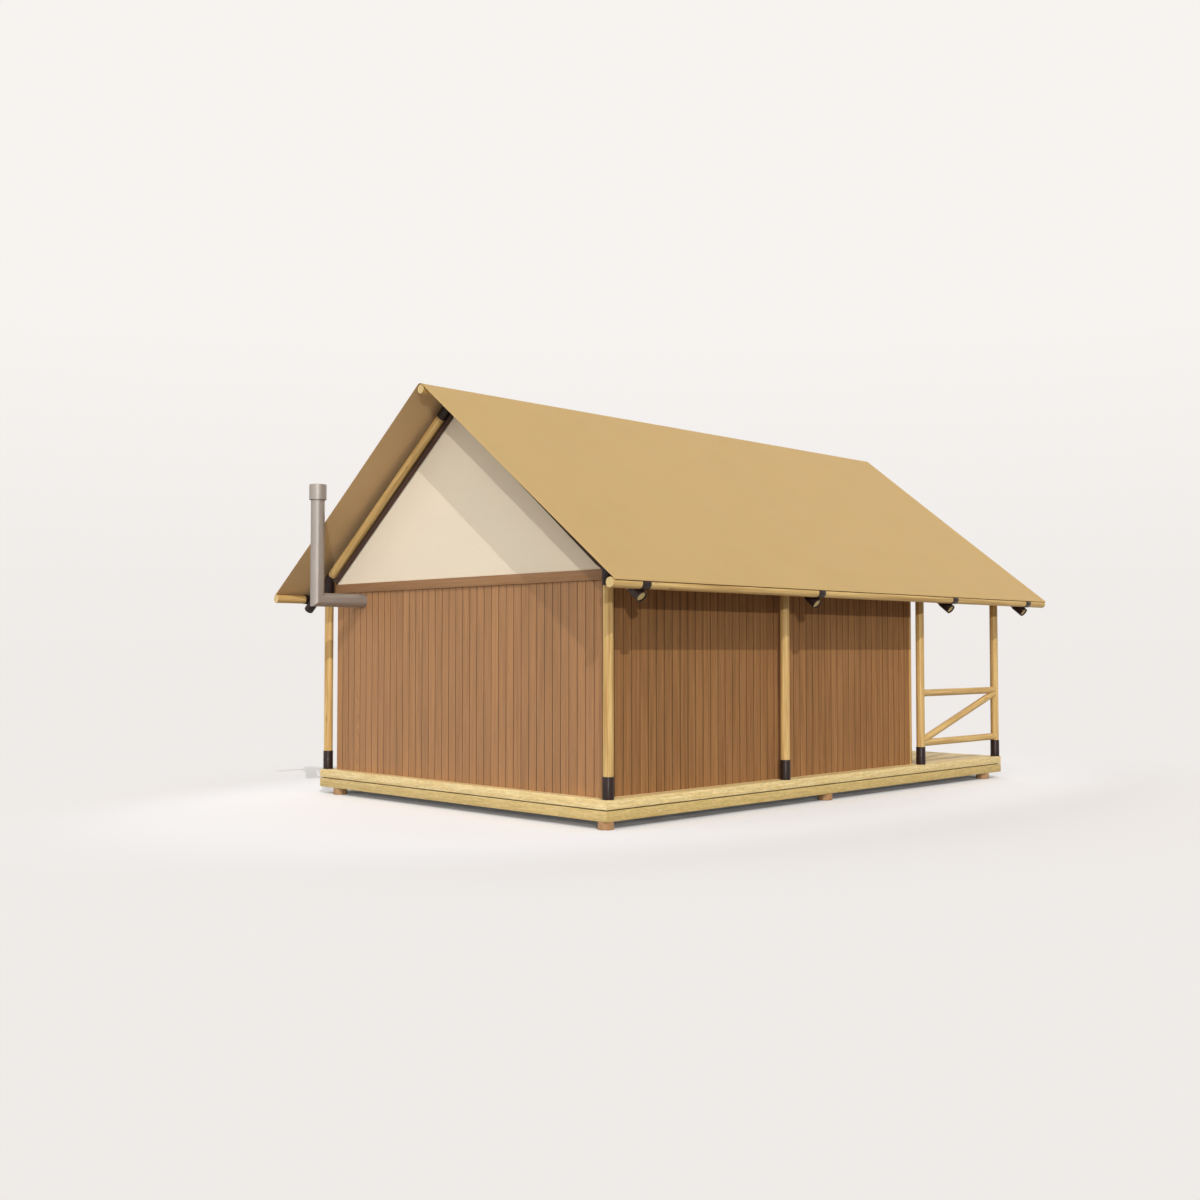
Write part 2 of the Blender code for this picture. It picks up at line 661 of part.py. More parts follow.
def build_door(side, sign, wood, glass, steel, origin):
    """One glazed leaf with its half of the hinges, and the pane in its groove."""
    axis = hinge_axis(sign)
    empty = make_hinge_empty(f"DOOR_{side.upper()}_AXIS", axis, origin)
    low, high = leaf_box(sign)
    leaf = make_object(f"door_leaf_{side}", box_shape(low, high), wood)
    light_low = Vector((low.x - DOOR_GAP, low.y + STILE_WIDTH, DECK_TOP + PANE_FOOT))
    light_high = Vector((high.x + DOOR_GAP, high.y - STILE_WIDTH, high.z - STILE_WIDTH))
    boolean(leaf, box_shape(light_low, light_high), "DIFFERENCE")
    middle = (low.x + high.x) / 2
    reach = Vector((0.0, PANE_REBATE, PANE_REBATE))
    slack = Vector((GAP, GAP, GAP))
    pane_low = Vector((middle - PANE_THICKNESS / 2, light_low.y, light_low.z)) - reach
    pane_high = Vector((middle + PANE_THICKNESS / 2, light_high.y, light_high.z)) + reach
    boolean(leaf, box_shape(pane_low - slack, pane_high + slack), "DIFFERENCE")
    for middle in HINGE_PLACES:
        add_leaf_hinge(leaf, sign, middle)
    if sign < 0:
        radius = LEVER_SPINDLE_RADIUS + LEVER_CLEARANCE
        boolean(leaf, pole_shape(*spindle_ends(DOOR_THICKNESS), radius), "DIFFERENCE")
        build_lever(steel, empty)
    leaf.parent = empty
    pane = make_object(f"door_pane_{side}", box_shape(pane_low, pane_high), glass)
    pane.parent = empty


def add_leaf_hinge(leaf, sign, middle):
    """The upper half of a lift-off hinge, whose pin stands in the jamb's half."""
    up = Vector((0.0, 0.0, 1.0))
    foot, head = (middle + GAP) * up, (middle + HINGE_LENGTH) * up
    outer = WALL_FRONT_FACE - hinge_axis(sign).x
    edges = sorted((0.0, -sign * HINGE_PLATE_WIDTH))
    low = (outer - HINGE_PLATE, edges[0], foot.z)
    high = (outer + HINGE_PLATE, edges[1], head.z)
    boolean(leaf, box_shape(low, high), "UNION")
    boolean(leaf, pole_shape(foot, head, HINGE_RADIUS, SMALL_SIDES), "UNION")
    pin_foot = foot - (HINGE_LENGTH - HINGE_PLATE) * up
    boolean(leaf, pole_shape(pin_foot, head - GAP * up, HINGE_PIN_RADIUS, SMALL_SIDES), "UNION")


def spindle_ends(past):
    """The ends of the lever's spindle, measured from the right-hand leaf's hinge axis."""
    low, high = leaf_box(-1)
    y = high.y - LEVER_BACKSET
    z = DECK_TOP + LEVER_HEIGHT
    return Vector((low.x - past, y, z)), Vector((high.x + past, y, z))


def build_lever(steel, door):
    """A lever on each face of the leaf, on one spindle through it."""
    inside, outside = spindle_ends(LEVER_STAND_OFF)
    centre = (inside + outside) / 2
    empty = make_hinge_empty("LEVER_AXIS", centre, door)
    inside, outside = inside - centre, outside - centre
    lever = make_object("door_lever", pole_shape(inside, outside, LEVER_SPINDLE_RADIUS), steel)
    along = Vector((1.0, 0.0, 0.0))
    grip = Vector((0.0, -LEVER_LENGTH, 0.0))
    for end, outward in ((inside, -1), (outside, 1)):
        face = outward * (DOOR_THICKNESS / 2 + GAP) * along
        rose_end = face + outward * LEVER_ROSE_THICKNESS * along
        boolean(lever, pole_shape(face, rose_end, LEVER_ROSE_RADIUS), "UNION")
        root = end - outward * LEVER_RADIUS * along
        boolean(lever, pole_shape(root, root + grip, LEVER_RADIUS), "UNION")
    shade_round(lever)
    lever.parent = empty


def build_rails(wood, origin):
    """A top rail, a foot rail and a brace between the porch posts of each side."""
    start, end = POST_ROWS[-2], POST_ROWS[-1]
    foot_z, top_z = DECK_TOP + RAIL_FOOT_HEIGHT, DECK_TOP + RAIL_TOP_HEIGHT
    for side, sign in SIDES.items():
        y = sign * POST_HALF_SPACING
        rail = make_object(
            f"porch_railing_{side}",
            pole_shape((start, y, foot_z), (end, y, foot_z), RAIL_RADIUS),
            wood,
        )
        top = pole_shape((start, y, top_z), (end, y, top_z), RAIL_RADIUS)
        brace = pole_shape(
            (start, y, foot_z + BRACE_FOOT_RISE), (end, y, top_z - BRACE_HEAD_DROP), RAIL_RADIUS
        )
        boolean(rail, brace, "UNION")
        boolean(rail, top, "UNION")
        for x in (start, end):
            foot = (x, y, DECK_TOP)
            head = (x, y, top_z + RAIL_TOP_HEIGHT)
            boolean(rail, pole_shape(foot, head, POST_RADIUS + GAP), "DIFFERENCE")
        place(rail, origin, rounded=True)


def flue_ring(shape, radius, x_of, z_of):
    """A ring of points round the flue, placed by a function of height and one of side."""
    ring = []
    for step in range(FLUE_SIDES):
        angle = 2 * math.pi * (step + 0.5) / FLUE_SIDES
        up = radius * math.sin(angle)
        y = FLUE_FROM_MIDDLE + radius * math.cos(angle)
        ring.append(shape.verts.new((x_of(up), y, z_of(up))))
    return ring


def build_flue(steel, origin):
    """The stove pipe: out through the rear wall, a mitred corner, and up past the roof's edge."""
    inner_end = WALL_REAR_FACE + WALL_THICKNESS + FLUE_INSIDE
    shape = bmesh.new()
    skins = []
    for radius in (FLUE_RADIUS, FLUE_RADIUS - FLUE_WALL):
        skins.append(
            (
                flue_ring(shape, radius, lambda up: inner_end, lambda up: FLUE_Z + up),
                flue_ring(shape, radius, lambda up: up - FLUE_BEHIND_POSTS, lambda up: FLUE_Z + up),
                flue_ring(shape, radius, lambda up: up - FLUE_BEHIND_POSTS, lambda up: FLUE_RIM),
            )
        )
    for first, second in (
        (skins[0][0], skins[0][1]),
        (skins[0][1], skins[0][2]),
        (skins[0][2], skins[1][2]),
        (skins[1][2], skins[1][1]),
        (skins[1][1], skins[1][0]),
        (skins[1][0], skins[0][0]),
    ):
        for i in range(FLUE_SIDES):
            j = (i + 1) % FLUE_SIDES
            shape.faces.new((first[i], first[j], second[j], second[i]))
    place(make_object("flue_pipe", shape, steel), origin, rounded=True)


def build_flue_cap(steel, origin):
    """A deep cap over the pipe, on ribs that stand on its rim, open round the pipe below."""
    axis = Vector((-FLUE_BEHIND_POSTS, FLUE_FROM_MIDDLE, 0.0))
    up = Vector((0.0, 0.0, 1.0))
    foot, head = FLUE_RIM - CAP_BELOW_RIM, FLUE_RIM + CAP_ABOVE_RIM
    rim = FLUE_RIM + GAP
    cap = make_object(
        "flue_cap",
        pole_shape(axis + foot * up, axis + head * up, CAP_RADIUS, FLUE_SIDES),
        steel,
    )
    hollow = pole_shape(
        axis + (foot - CAP_RADIUS) * up,
        axis + (head - CAP_WALL) * up,
        CAP_RADIUS - CAP_WALL,
        FLUE_SIDES,
    )
    boolean(cap, hollow, "DIFFERENCE")
    half = CAP_RIB_WIDTH / 2
    near, far = FLUE_RADIUS + GAP, CAP_RADIUS - CAP_WALL / 2
    profile = [
        (near, foot + CAP_RIB_REACH),
        (far, foot + CAP_RIB_REACH),
        (far, head - CAP_WALL / 2),
        (near - CAP_RIB_REACH, head - CAP_WALL / 2),
        (near - CAP_RIB_REACH, rim),
        (near, rim),
    ]
    for rib in range(CAP_RIBS):
        outline = [(r, -half, z) for r, z in profile]
        shape = prism_shape(outline, (0.0, CAP_RIB_WIDTH, 0.0))
        turn = Matrix.Rotation(2 * math.pi * rib / CAP_RIBS, 4, "Z")
        shape.transform(Matrix.Translation(axis) @ turn)
        boolean(cap, shape, "UNION")
    place(cap, origin, rounded=True)


def build_deck_floor(wood, origin):
    """The floor, with grooves between its lengthwise boards."""
    count = round(2 * DECK_HALF_WIDTH / FLOOR_BOARD_PITCH)
    pitch = 2 * DECK_HALF_WIDTH / count
    outline = [(-DECK_HALF_WIDTH, FLOOR_FOOT), (-DECK_HALF_WIDTH, DECK_TOP)]
    for board in range(1, count):
        y = -DECK_HALF_WIDTH + board * pitch
        outline.append((y - FLOOR_GROOVE_WIDTH / 2, DECK_TOP))
        outline.append((y, DECK_TOP - FLOOR_GROOVE_DEPTH))
        outline.append((y + FLOOR_GROOVE_WIDTH / 2, DECK_TOP))
    outline += [(DECK_HALF_WIDTH, DECK_TOP), (DECK_HALF_WIDTH, FLOOR_FOOT)]
    points = [(DECK_REAR, y, z) for y, z in outline]
    shape = prism_shape(points, (DECK_FRONT - DECK_REAR, 0.0, 0.0))
    place(make_object("deck_floor", shape, wood), origin)


def pier_places():
    """Where the pairs of piers stand along X: at the rear posts, near the front, and between."""
    front = DECK_FRONT - PIER_BEFORE_FRONT
    return 0.0, front / 2, front


def joist_places():
    """Where the joists lie along X: one over each pair of piers, and others evenly between."""
    piers = pier_places()
    spaces = round(piers[1] / JOIST_PITCH)
    return [piers[1] * i / spaces for i in range(2 * spaces + 1)]


def build_deck_frame(wood, origin):
    """Rim, joists and piers."""
    low = Vector((DECK_REAR, -DECK_HALF_WIDTH, PIER_SHOW))
    high = Vector((DECK_FRONT, DECK_HALF_WIDTH, PIER_SHOW + FRAME_DEPTH))
    frame = make_object("deck_frame", box_shape(low, high), wood)
    edges = [DECK_REAR + JOIST_WIDTH / 2, *joist_places(), DECK_FRONT - JOIST_WIDTH / 2]
    inside = DECK_HALF_WIDTH - JOIST_WIDTH
    pockets = []
    for start, end in zip(edges, edges[1:]):
        if end - start > 2 * JOIST_WIDTH:
            near = (start + JOIST_WIDTH / 2, -inside, low.z - JOIST_WIDTH)
            far = (end - JOIST_WIDTH / 2, inside, high.z + JOIST_WIDTH)
            pockets.append(box_shape(near, far))
    boolean(frame, together(pockets), "DIFFERENCE")
    piers = []
    for y in (PIER_INSIDE_RIGHT - DECK_HALF_WIDTH, DECK_HALF_WIDTH - PIER_INSIDE_LEFT):
        for x in pier_places():
            head = (x, y, PIER_SHOW + FRAME_DEPTH / 2)
            piers.append(pole_shape((x, y, 0.0), head, PIER_RADIUS, PIER_SIDES))
    boolean(frame, together(piers), "UNION")
    place(frame, origin)


def main():
    clear_scene()
    round_wood = make_material("debarked_pole_wood", (0.56, 0.38, 0.15), 0.6)
    cladding = make_material("brown_stained_cladding", (0.36, 0.17, 0.07), 0.6)
    deck_wood = make_material("planed_softwood", (0.72, 0.52, 0.24), 0.65)
    steel = make_material("dark_coated_steel", (0.045, 0.035, 0.038), 0.4, metallic=0.6)
    flue_steel = make_material("stainless_steel", (0.38, 0.34, 0.31), 0.35, metallic=1.0)
    fly_canvas = make_material("sand_canvas", (0.60, 0.43, 0.21), 0.85)
    roof_canvas = make_material("dark_brown_canvas", (0.065, 0.035, 0.025), 0.9)
    gable_canvas = make_material("cream_canvas", (0.80, 0.68, 0.48), 0.85)
    glass = make_material("window_glass", (0.8, 0.9, 0.9), 0.05, alpha=0.35)
    origin = make_origin()
    build_deck_frame(deck_wood, origin)
    build_deck_floor(deck_wood, origin)
    build_shoes(steel, origin)
    build_posts(round_wood, origin)
    build_knee_brackets(steel, origin)
    build_rafters(round_wood, origin)
    build_ridge_brackets(steel, origin)
    build_beams(round_wood, origin)
    build_fly(fly_canvas, origin)
    build_inner_roof(roof_canvas, origin)
    build_gables(gable_canvas, origin)
    build_walls(cladding, origin)
    build_headers(cladding, origin)
    for side, sign in SIDES.items():
        build_door(side, sign, round_wood, glass, steel, origin)
    build_rails(round_wood, origin)
    build_flue(flue_steel, origin)
    build_flue_cap(flue_steel, origin)


main()
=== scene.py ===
"""Safari tent: the finish of every surface, built around the solids of the frame.

Metres. +X runs from the rear wall to the porch, +Y is the left side seen by someone who leaves
through the doors, +Z is up and Z = 0 is the ground under the piers.
"""

import json
import math
import random
from functools import partial

import bmesh
import bpy
import numpy as np
from bpy.props import FloatProperty, FloatVectorProperty, IntProperty, PointerProperty
from mathutils import Matrix, Vector


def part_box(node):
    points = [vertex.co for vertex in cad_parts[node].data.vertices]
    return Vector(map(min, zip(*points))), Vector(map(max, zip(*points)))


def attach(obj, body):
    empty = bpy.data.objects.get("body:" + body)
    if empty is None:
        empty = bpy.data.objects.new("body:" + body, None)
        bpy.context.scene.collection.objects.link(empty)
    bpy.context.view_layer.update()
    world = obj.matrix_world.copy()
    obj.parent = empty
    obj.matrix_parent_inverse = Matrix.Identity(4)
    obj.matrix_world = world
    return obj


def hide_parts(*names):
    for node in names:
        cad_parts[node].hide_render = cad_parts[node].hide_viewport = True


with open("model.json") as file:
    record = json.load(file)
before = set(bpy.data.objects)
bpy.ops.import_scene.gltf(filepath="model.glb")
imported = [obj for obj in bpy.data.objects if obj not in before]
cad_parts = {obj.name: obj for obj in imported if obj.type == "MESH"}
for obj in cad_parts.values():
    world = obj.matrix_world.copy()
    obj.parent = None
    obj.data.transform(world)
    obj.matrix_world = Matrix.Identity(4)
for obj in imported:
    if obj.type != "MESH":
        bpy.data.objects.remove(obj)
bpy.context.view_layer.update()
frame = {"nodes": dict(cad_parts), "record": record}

bl_info = {
    "name": "Safari Tent",
    "version": (1, 0, 0),
    "blender": (4, 5, 0),
    "location": "3D View > Sidebar > Tent",
    "description": "Builds a round-pole safari tent on its timber deck",
    "category": "Add Mesh",
}

SIDES = {"right": -1, "left": 1}
ROWS = (1, 2, 3, 4)
ALONG, ACROSS, UP = Vector((1.0, 0.0, 0.0)), Vector((0.0, 1.0, 0.0)), Vector((0.0, 0.0, 1.0))
HALF_TURN = Matrix.Rotation(math.pi, 4, "Z")
JOINTS = {item["name"]: Vector(item["pos_m"]) for item in frame["record"]["behaviour"]["joints"]}

# Clearance between pieces that touch, and how far a cutting shape runs past what it cuts
GAP = 0.0003
PAST = 0.1
RAIL_PAST = 0.3

# Steel tubes and round poles
TUBE_WALL = 0.0047
KNEE_WALL = 0.0058
RIM = 0.0012
RIM_ARC = (0, 0.52, 1.05, 1.57)
TUBE_SIDES = 64
CAD_POLE_SIDES = 16
POLE_STEP = 0.12
POLE_UNEVENNESS = 0.0007
GRAIN_SPREAD = 40.0

# How squarely a face has to look along an axis to get the painted shade of a joint
JOINT_SHADE_FACING = 0.87

# How far the edges of pieces are rounded, and in how many steps
EASE = {
    "hinge": (0.0005, 1), "board": (0.0008, 1), "trim": (0.0015, 2), "timber": (0.002, 2),
    "bead": (0.0025, 2), "floor": (0.003, 2), "sill": (0.004, 3), "pier": (0.006, 3),
}

# Angles in degrees above which an edge stays sharp
BOARD_SMOOTH = 20.0
CLOTH_SMOOTH = 60.0


def middle(node):
    """The middle of a node's box."""
    low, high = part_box(node)
    return (low + high) / 2


def pole_radius(node, axis):
    """Radius of a round pole whose solid has flat sides, from its width along an axis."""
    low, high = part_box(node)
    return (high - low)[axis] / 2 / math.cos(math.pi / CAD_POLE_SIDES)


# Places and sizes read from the frame
ROW_X = [middle(f"post_right_{row}").x for row in ROWS]
POST_Y = middle("post_left_1").y
POST_FOOT, POST_HEAD = (corner.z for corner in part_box("post_right_1"))
POST_RADIUS = pole_radius("post_right_1", 0)
BEAM_RADIUS = pole_radius("ridge_beam", 1)
BEAM_REAR, BEAM_FRONT = (corner.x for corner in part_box("ridge_beam"))
RIDGE_Z = middle("ridge_beam").z
EAVE_Y, EAVE_Z = middle("eave_beam_left").y, middle("eave_beam_left").z
DECK_LOW, DECK_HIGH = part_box("deck_floor")
RIM_LOW, RIM_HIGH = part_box("deck_frame")
WALL_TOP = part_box("wall_right")[1].z
REAR_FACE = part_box("wall_rear")[0].x
SHOE_FOOT, SHOE_HEAD = (corner.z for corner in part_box("post_shoe_right_1"))
LEAF_FOOT, LEAF_TOP = (corner.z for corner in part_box("door_leaf_right"))
DOOR_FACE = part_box("header_front")[0].x - GAP

# Rafters: the same rule as the solids, under the ridge beam and under the eave beams
RAFTER_RADIUS = POST_RADIUS
SLEEVE_RADIUS = RAFTER_RADIUS + GAP + TUBE_WALL
RING_RADIUS = BEAM_RADIUS + GAP + TUBE_WALL
RAFTER_BELOW_RIDGE = 0.052
RAFTER_FROM_RIDGE = 0.066
RAFTER_PAST_EAVE = 0.044
RAFTER_TOP = Vector((0.0, 0.0, RIDGE_Z - RAFTER_BELOW_RIDGE))
RAFTER_DROP = RAFTER_TOP.z - EAVE_Z
PITCH = math.atan2(RAFTER_DROP, EAVE_Y) + math.asin(
    (SLEEVE_RADIUS + GAP + BEAM_RADIUS) / math.hypot(EAVE_Y, RAFTER_DROP)
)
DOWNHILL = Vector((0.0, -math.cos(PITCH), -math.sin(PITCH)))
EAVE_FOOT = EAVE_Y * math.cos(PITCH) + RAFTER_DROP * math.sin(PITCH)
RAFTER_TAIL = EAVE_FOOT + RAFTER_PAST_EAVE
KNEE_ON_RAFTER = POST_Y / math.cos(PITCH)

# Steel fittings
RING_LENGTH = 0.110
CLAMP_UP = 0.091
CLAMP_RECESS = 0.015
KNEE_UP = 0.077
KNEE_DOWN = 0.130
KNEE_SOCKET = 0.100
RIDGE_SLEEVE = 0.256
SHOE_BASE = 0.006

# Where the bolts sit, as parts of the length of their socket or sleeve
KNEE_POST_BOLT = 0.6
KNEE_RAFTER_BOLT = 0.7
CLAMP_BOLT = 0.55
RIDGE_BOLT = 0.75

# Heads of the fasteners: turned parts in head radii, each a profile and its number of sides
BOLT = 0.0065
HINGE_SCREW = 0.0032
SCREW_HEAD = (
    (((-0.6, 0), (-0.6, 0.5), (0, 1), (0.1, 0.9), (0.1, 0.45), (-0.15, 0.3), (-0.15, 0)), 8),
)
BOLT_HEAD = (
    (((-0.1, 0), (-0.1, 1.35), (0.12, 1.35), (0.12, 0)), 16),
    (((0, 0), (0, 1), (0.62, 1), (0.74, 0.86), (0.74, 0)), 6),
)

# Fly: over the ridge beam, down the slopes and round the eave beams
FLY_SLOPE = math.atan2(RIDGE_Z - EAVE_Z, EAVE_Y)
FLY_WRAP = math.radians(63.0)
FLY_RADIUS = RING_RADIUS + GAP + 0.002
FLY_RUN = math.hypot(RIDGE_Z - EAVE_Z, EAVE_Y)
RIDGE_ARC = FLY_RADIUS * FLY_SLOPE
EAVE_ARC = FLY_RADIUS * (FLY_WRAP - FLY_SLOPE)
FLY_HALF = RIDGE_ARC + FLY_RUN + EAVE_ARC
FLY_REAR_RIDGE, FLY_REAR_EAVE = BEAM_REAR - 0.010, BEAM_REAR + 0.010
FLY_FRONT_RIDGE, FLY_FRONT_EAVE = BEAM_FRONT + 0.060, BEAM_FRONT + 0.010
FLY_LONG = FLY_FRONT_RIDGE - FLY_REAR_RIDGE
FLY_ROWS = 85
RAKE_HOLLOW = 0.003
KEDER_RADIUS = 0.004
KEDER_SIDES = 10
KEDER_ENDS = (0.002, 0.998)
THREAD_RADIUS = 0.0009
THREAD_TIP = 0.0015
THREAD_INSET = 0.006
THREAD_FROM_EDGE = 0.01
THREAD_STEP = 0.3
THREAD_ENDS = (0.008, 0.992)
THREAD_POINTS = 60

# Hems and their threads above the fly, in thicknesses of its canvas
HEM_THICKNESS = 0.9
THREAD_LIFT = 1.6

# Inner roof and gables; the canvas valances hang a little lower than their solids. The roof's dark
# colour and its valances are painted shade between rafters and gables
CANVAS = 0.006
ROOF_CANVAS = 0.003
ROOF_BELOW_RAFTER = 0.078
ROOF_SAG = 0.006
VALANCE_HEIGHT = 0.080
VALANCE_OVER_WALL = 0.001
SKIRT_OVER_WALL = 0.045
GABLE_BEHIND = 0.0025
GABLE_RIPPLE = 0.0014
GABLE_WAVES = (9.0, 2.0)
GABLE_SEAM_DEPTH = 0.0021
GABLE_SEAMS = (0.012, 0.045)
GABLE_SEAM_ENDS = (0.02, 0.08)

# Walls
BOARD_PITCH = 0.1135
V_HALF = 0.0048
V_DEPTH = 0.0015
SLOT_HALF = 0.0032
SLOT_DEPTH = 0.018
SLACK = 0.0001
TRIM = 0.028
JAMB = 0.045
HEADER_SCREWS = 9
HEADER_SCREW_INSET = (0.06, 0.025)

# Doors
DOORWAY_HALF_WIDTH = 0.800
DOORWAY_TOP = LEAF_TOP + 0.004
DOOR_GAP = 0.004
DOOR_THICKNESS = 0.040
STILE_WIDTH = 0.110
FOOT_RAIL = 0.170
PANE_FOOT = 0.780
PANEL_RECESS = 0.010
BEAD = 0.012
BEAD_DEPTH = 0.014
BEAD_RECESS = 0.001
HINGE_RADIUS = 0.008
HINGE_LENGTH = 0.045
HINGE_PLATE_WIDTH = 0.030
HINGE_PLATE = 0.003
HINGE_FROM_END = 0.250
HINGE_RIM = 0.0008
HINGE_SIDES = 24
HINGE_SCREWS = (0.2, 0.5, 0.8)
HINGE_SCREW_ACROSS = 0.68
LEVER_RADIUS = 0.008
LEVER_SPINDLE = 0.009
LEVER_LENGTH = 0.120
LEVER_STAND_OFF = 0.045
LEVER_ROSE = 0.006
LEVER_ROSE_RADIUS = 0.025

# How far the lever's rose, neck and grip are rounded, and their sides
LEVER_RIMS = ((0.002, 40), (0.003, 24), (0.005, 25))

# Railings
RAIL_RADIUS = 0.042
BRACE_FOOT_RISE = 0.018
BRACE_HEAD_DROP = 0.032

# Deck
FLOOR_BOARDS = 32
FLOOR_BOARD = 0.028
FLOOR_SLOT = 0.0015
FLOOR_PITCH = (DECK_HIGH.y - DECK_LOW.y) / FLOOR_BOARDS
SCREW_SHARES = (0.22, 0.78)
SCREW_SINK = 0.0004
JOIST_WIDTH = 0.045
JOIST_PITCH = 0.567
JOIST_RISE = 0.002
RIM_FOOT = 0.075
RIM_SHADOW_GAP = 0.008
MITRE_GAP = 0.0002
PIER_BEFORE_FRONT = 0.330
PIER_INSIDE_RIGHT = 0.080
PIER_INSIDE_LEFT = 0.300
PIER_RADIUS = 0.080
PIER_SIDES = 8
PIER_RIM = 0.004

# Stove pipe
FLUE_CAD_SIDES = 24
FLUE_FLAT = math.cos(math.pi / FLUE_CAD_SIDES)
FLUE_RADIUS = 0.075
FLUE_WALL = 0.003
FLUE_LIP = 0.0008
FLUE_AXIS_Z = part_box("flue_pipe")[0].z + FLUE_RADIUS * FLUE_FLAT
CAP_WALL = 0.0025
CAP_EDGE = 0.005
CAP_ARC = (0.0, 0.4, 0.8, 1.2, 1.57)
CAP_RIBS = 3
CAP_RIB_REACH = 0.020
CAP_RIB = 0.002

# Camera: where the photograph was taken from, above the ground off the rear right corner
CAMERA_PLACE = (-12.18765, -10.8375, 1.6324)
CAMERA_TURN = (math.radians(92.129), 0.0, math.radians(-45.121))
CAMERA_LENS = 40.2264
CAMERA_SENSOR = 36.0
CAMERA_FAR = 500.0

# Lamps: the way the light travels, its strength and the softness of its shadows in degrees
LAMPS = {
    "low_lamp": ((0.86, 1.0, -0.275), 0.97, 0.4),
    "high_lamp": ((0.63, 1.0, -0.95), 1.36, 0.4),
    "rear_fill": ((1.0, 0.0, -0.2), 1.42, 100.0),
    "porch_fill": ((-1.0, -0.6, -0.3), 0.9, 80.0),
}
SKY_LOW = 0.12
SKY_HIGH = 0.6
SKY_BLEND = 0.24

# Floor: what it throws back, the oval pool of painted light that it glows with round the deck, and
# where it ends
FLOOR_BOUNCE = "#A5A29F"
FLOOR_GLOW = 0.19
FLOOR_GLOW_TINT = "#E6F0FA"
POOL_SHAPE = (0.5, 1.0, 0.0)
POOL_CORE = 3.1
POOL_EDGE = 4.6
FLOOR_SHADE_REACH = 0.35
FLOOR_NEAR, FLOOR_FAR = 3.5, 9.0


def on_rafter(distance):
    """A point on the right-hand rafter's axis in its own row, measured downhill from the ridge."""
    return RAFTER_TOP + distance * DOWNHILL


def rafter_z(y):
    """Height of the rafters' axis at a distance y from the middle of the tent."""
    return RAFTER_TOP.z - np.abs(y) * math.tan(PITCH)


def linear(code):
    """A colour's linear values from its sRGB hex code."""
    parts = [int(code[i : i + 2], 16) / 255 for i in (1, 3, 5)]
    return tuple(p / 12.92 if p <= 0.04045 else ((p + 0.055) / 1.055) ** 2.4 for p in parts)


def colour(name, code):
    """A colour that the user can set."""
    return FloatVectorProperty(
        name=name, description=f"{name}, base colour", subtype="COLOR", size=3, min=0, max=1,
        default=linear(code),
    )


def length(name, default, description):
    """A length that the user can set."""
    return FloatProperty(name=name, description=description, default=default, min=0, unit="LENGTH")


class TentSizes(bpy.types.PropertyGroup):
    """Sizes that leave the frame as it is."""

    pole_sides: IntProperty(
        name="Pole sides", description="Flat sides round each pole", default=48, min=12, max=96
    )
    pole_chamfer: length("Pole chamfer", 0.0022, "Chamfer round the sawn ends of the poles")
    canvas: length("Canvas", 0.0012, "Thickness of the fly's canvas")
    fly_sag: length("Fly sag", 0.005, "How far the fly hangs through between its beams")
    hem: length("Hem", 0.048, "Width of the hems on the canvas")
    stitch: length("Stitch", 0.009, "Length of a stitch, drawn longer than a real one of 4 mm")
    stitch_step: length("Stitch step", 0.014, "Distance from one stitch to the next")
    screw: length("Screw head", 0.0045, "Radius of the screw heads")
    floor_radius: length("Stage radius", 70.0, "Radius of the pale floor")


class TentColours(bpy.types.PropertyGroup):
    """Base colours of the finishes."""

    pole_light: colour("Pole wood, light", "#EAC680")
    pole_dark: colour("Pole wood, dark", "#BC9152")
    pole_end: colour("Pole end grain", "#E6CB8E")
    knot: colour("Knots", "#7E562F")
    # Rear cladding is the same stain as the other cladding, painted paler: painted light on the
    # rear wall
    lit_rear_light: colour("Rear cladding, light", "#AC7C4F")
    lit_rear_dark: colour("Rear cladding, dark", "#966C45")
    side_light: colour("Other cladding, light", "#A5784D")
    side_dark: colour("Other cladding, dark", "#8C633E")
    header: colour("Header stain", "#9B724A")
    deck_light: colour("Deck, light", "#F0DAA2")
    deck_dark: colour("Deck, dark", "#DDBE7E")
    rim_light: colour("Rim, light", "#D7BC80")
    rim_dark: colour("Rim, dark", "#C5A865")
    pier: colour("Pier wood", "#B08D68")
    trim: colour("Planed softwood", "#DFB878")
    fly: colour("Fly canvas", "#C2A065")
    # The fly's underside is painted paler than its top: painted light on the shaded underside
    fly_underside_lit: colour("Fly canvas, uncoated back", "#D5B484")
    # The inner roof's dark colour is painted shade for the shadowed gap between rafters and gables
    inner_roof: colour("Inner roof canvas", "#4A342A")
    gable: colour("Gable canvas", "#EEDFC6")
    # The keder's dark colour is painted shade along the fly's lower edges
    keder: colour("Keder", "#4A3122")
    steel: colour("Powder-coated steel", "#2C1F1B")
    screw: colour("Zinc-plated screws", "#8B8780")
    flue: colour("Stainless steel", "#9C938B")
    lever: colour("Lever", "#4A4646")
    stage: colour("Stage", "#EFEBE8")
    sky: colour("Backdrop overhead", "#F7F3F0")


# Kinds of node that come back often
MATH = "ShaderNodeMath"
VECTOR = "ShaderNodeVectorMath"
RANGE = "ShaderNodeMapRange"
BLEND = "ShaderNodeMix"
ATTRIBUTE = "ShaderNodeAttribute"
COORDS = "ShaderNodeTexCoord"
COMBINE = "ShaderNodeCombineXYZ"
SEPARATE = "ShaderNodeSeparateXYZ"
BACKGROUND = "ShaderNodeBackground"

# Settings of a colour mix: its inputs are 0, 6 and 7 and its output is 2
MIX = {"out": 2, "data_type": "RGBA"}


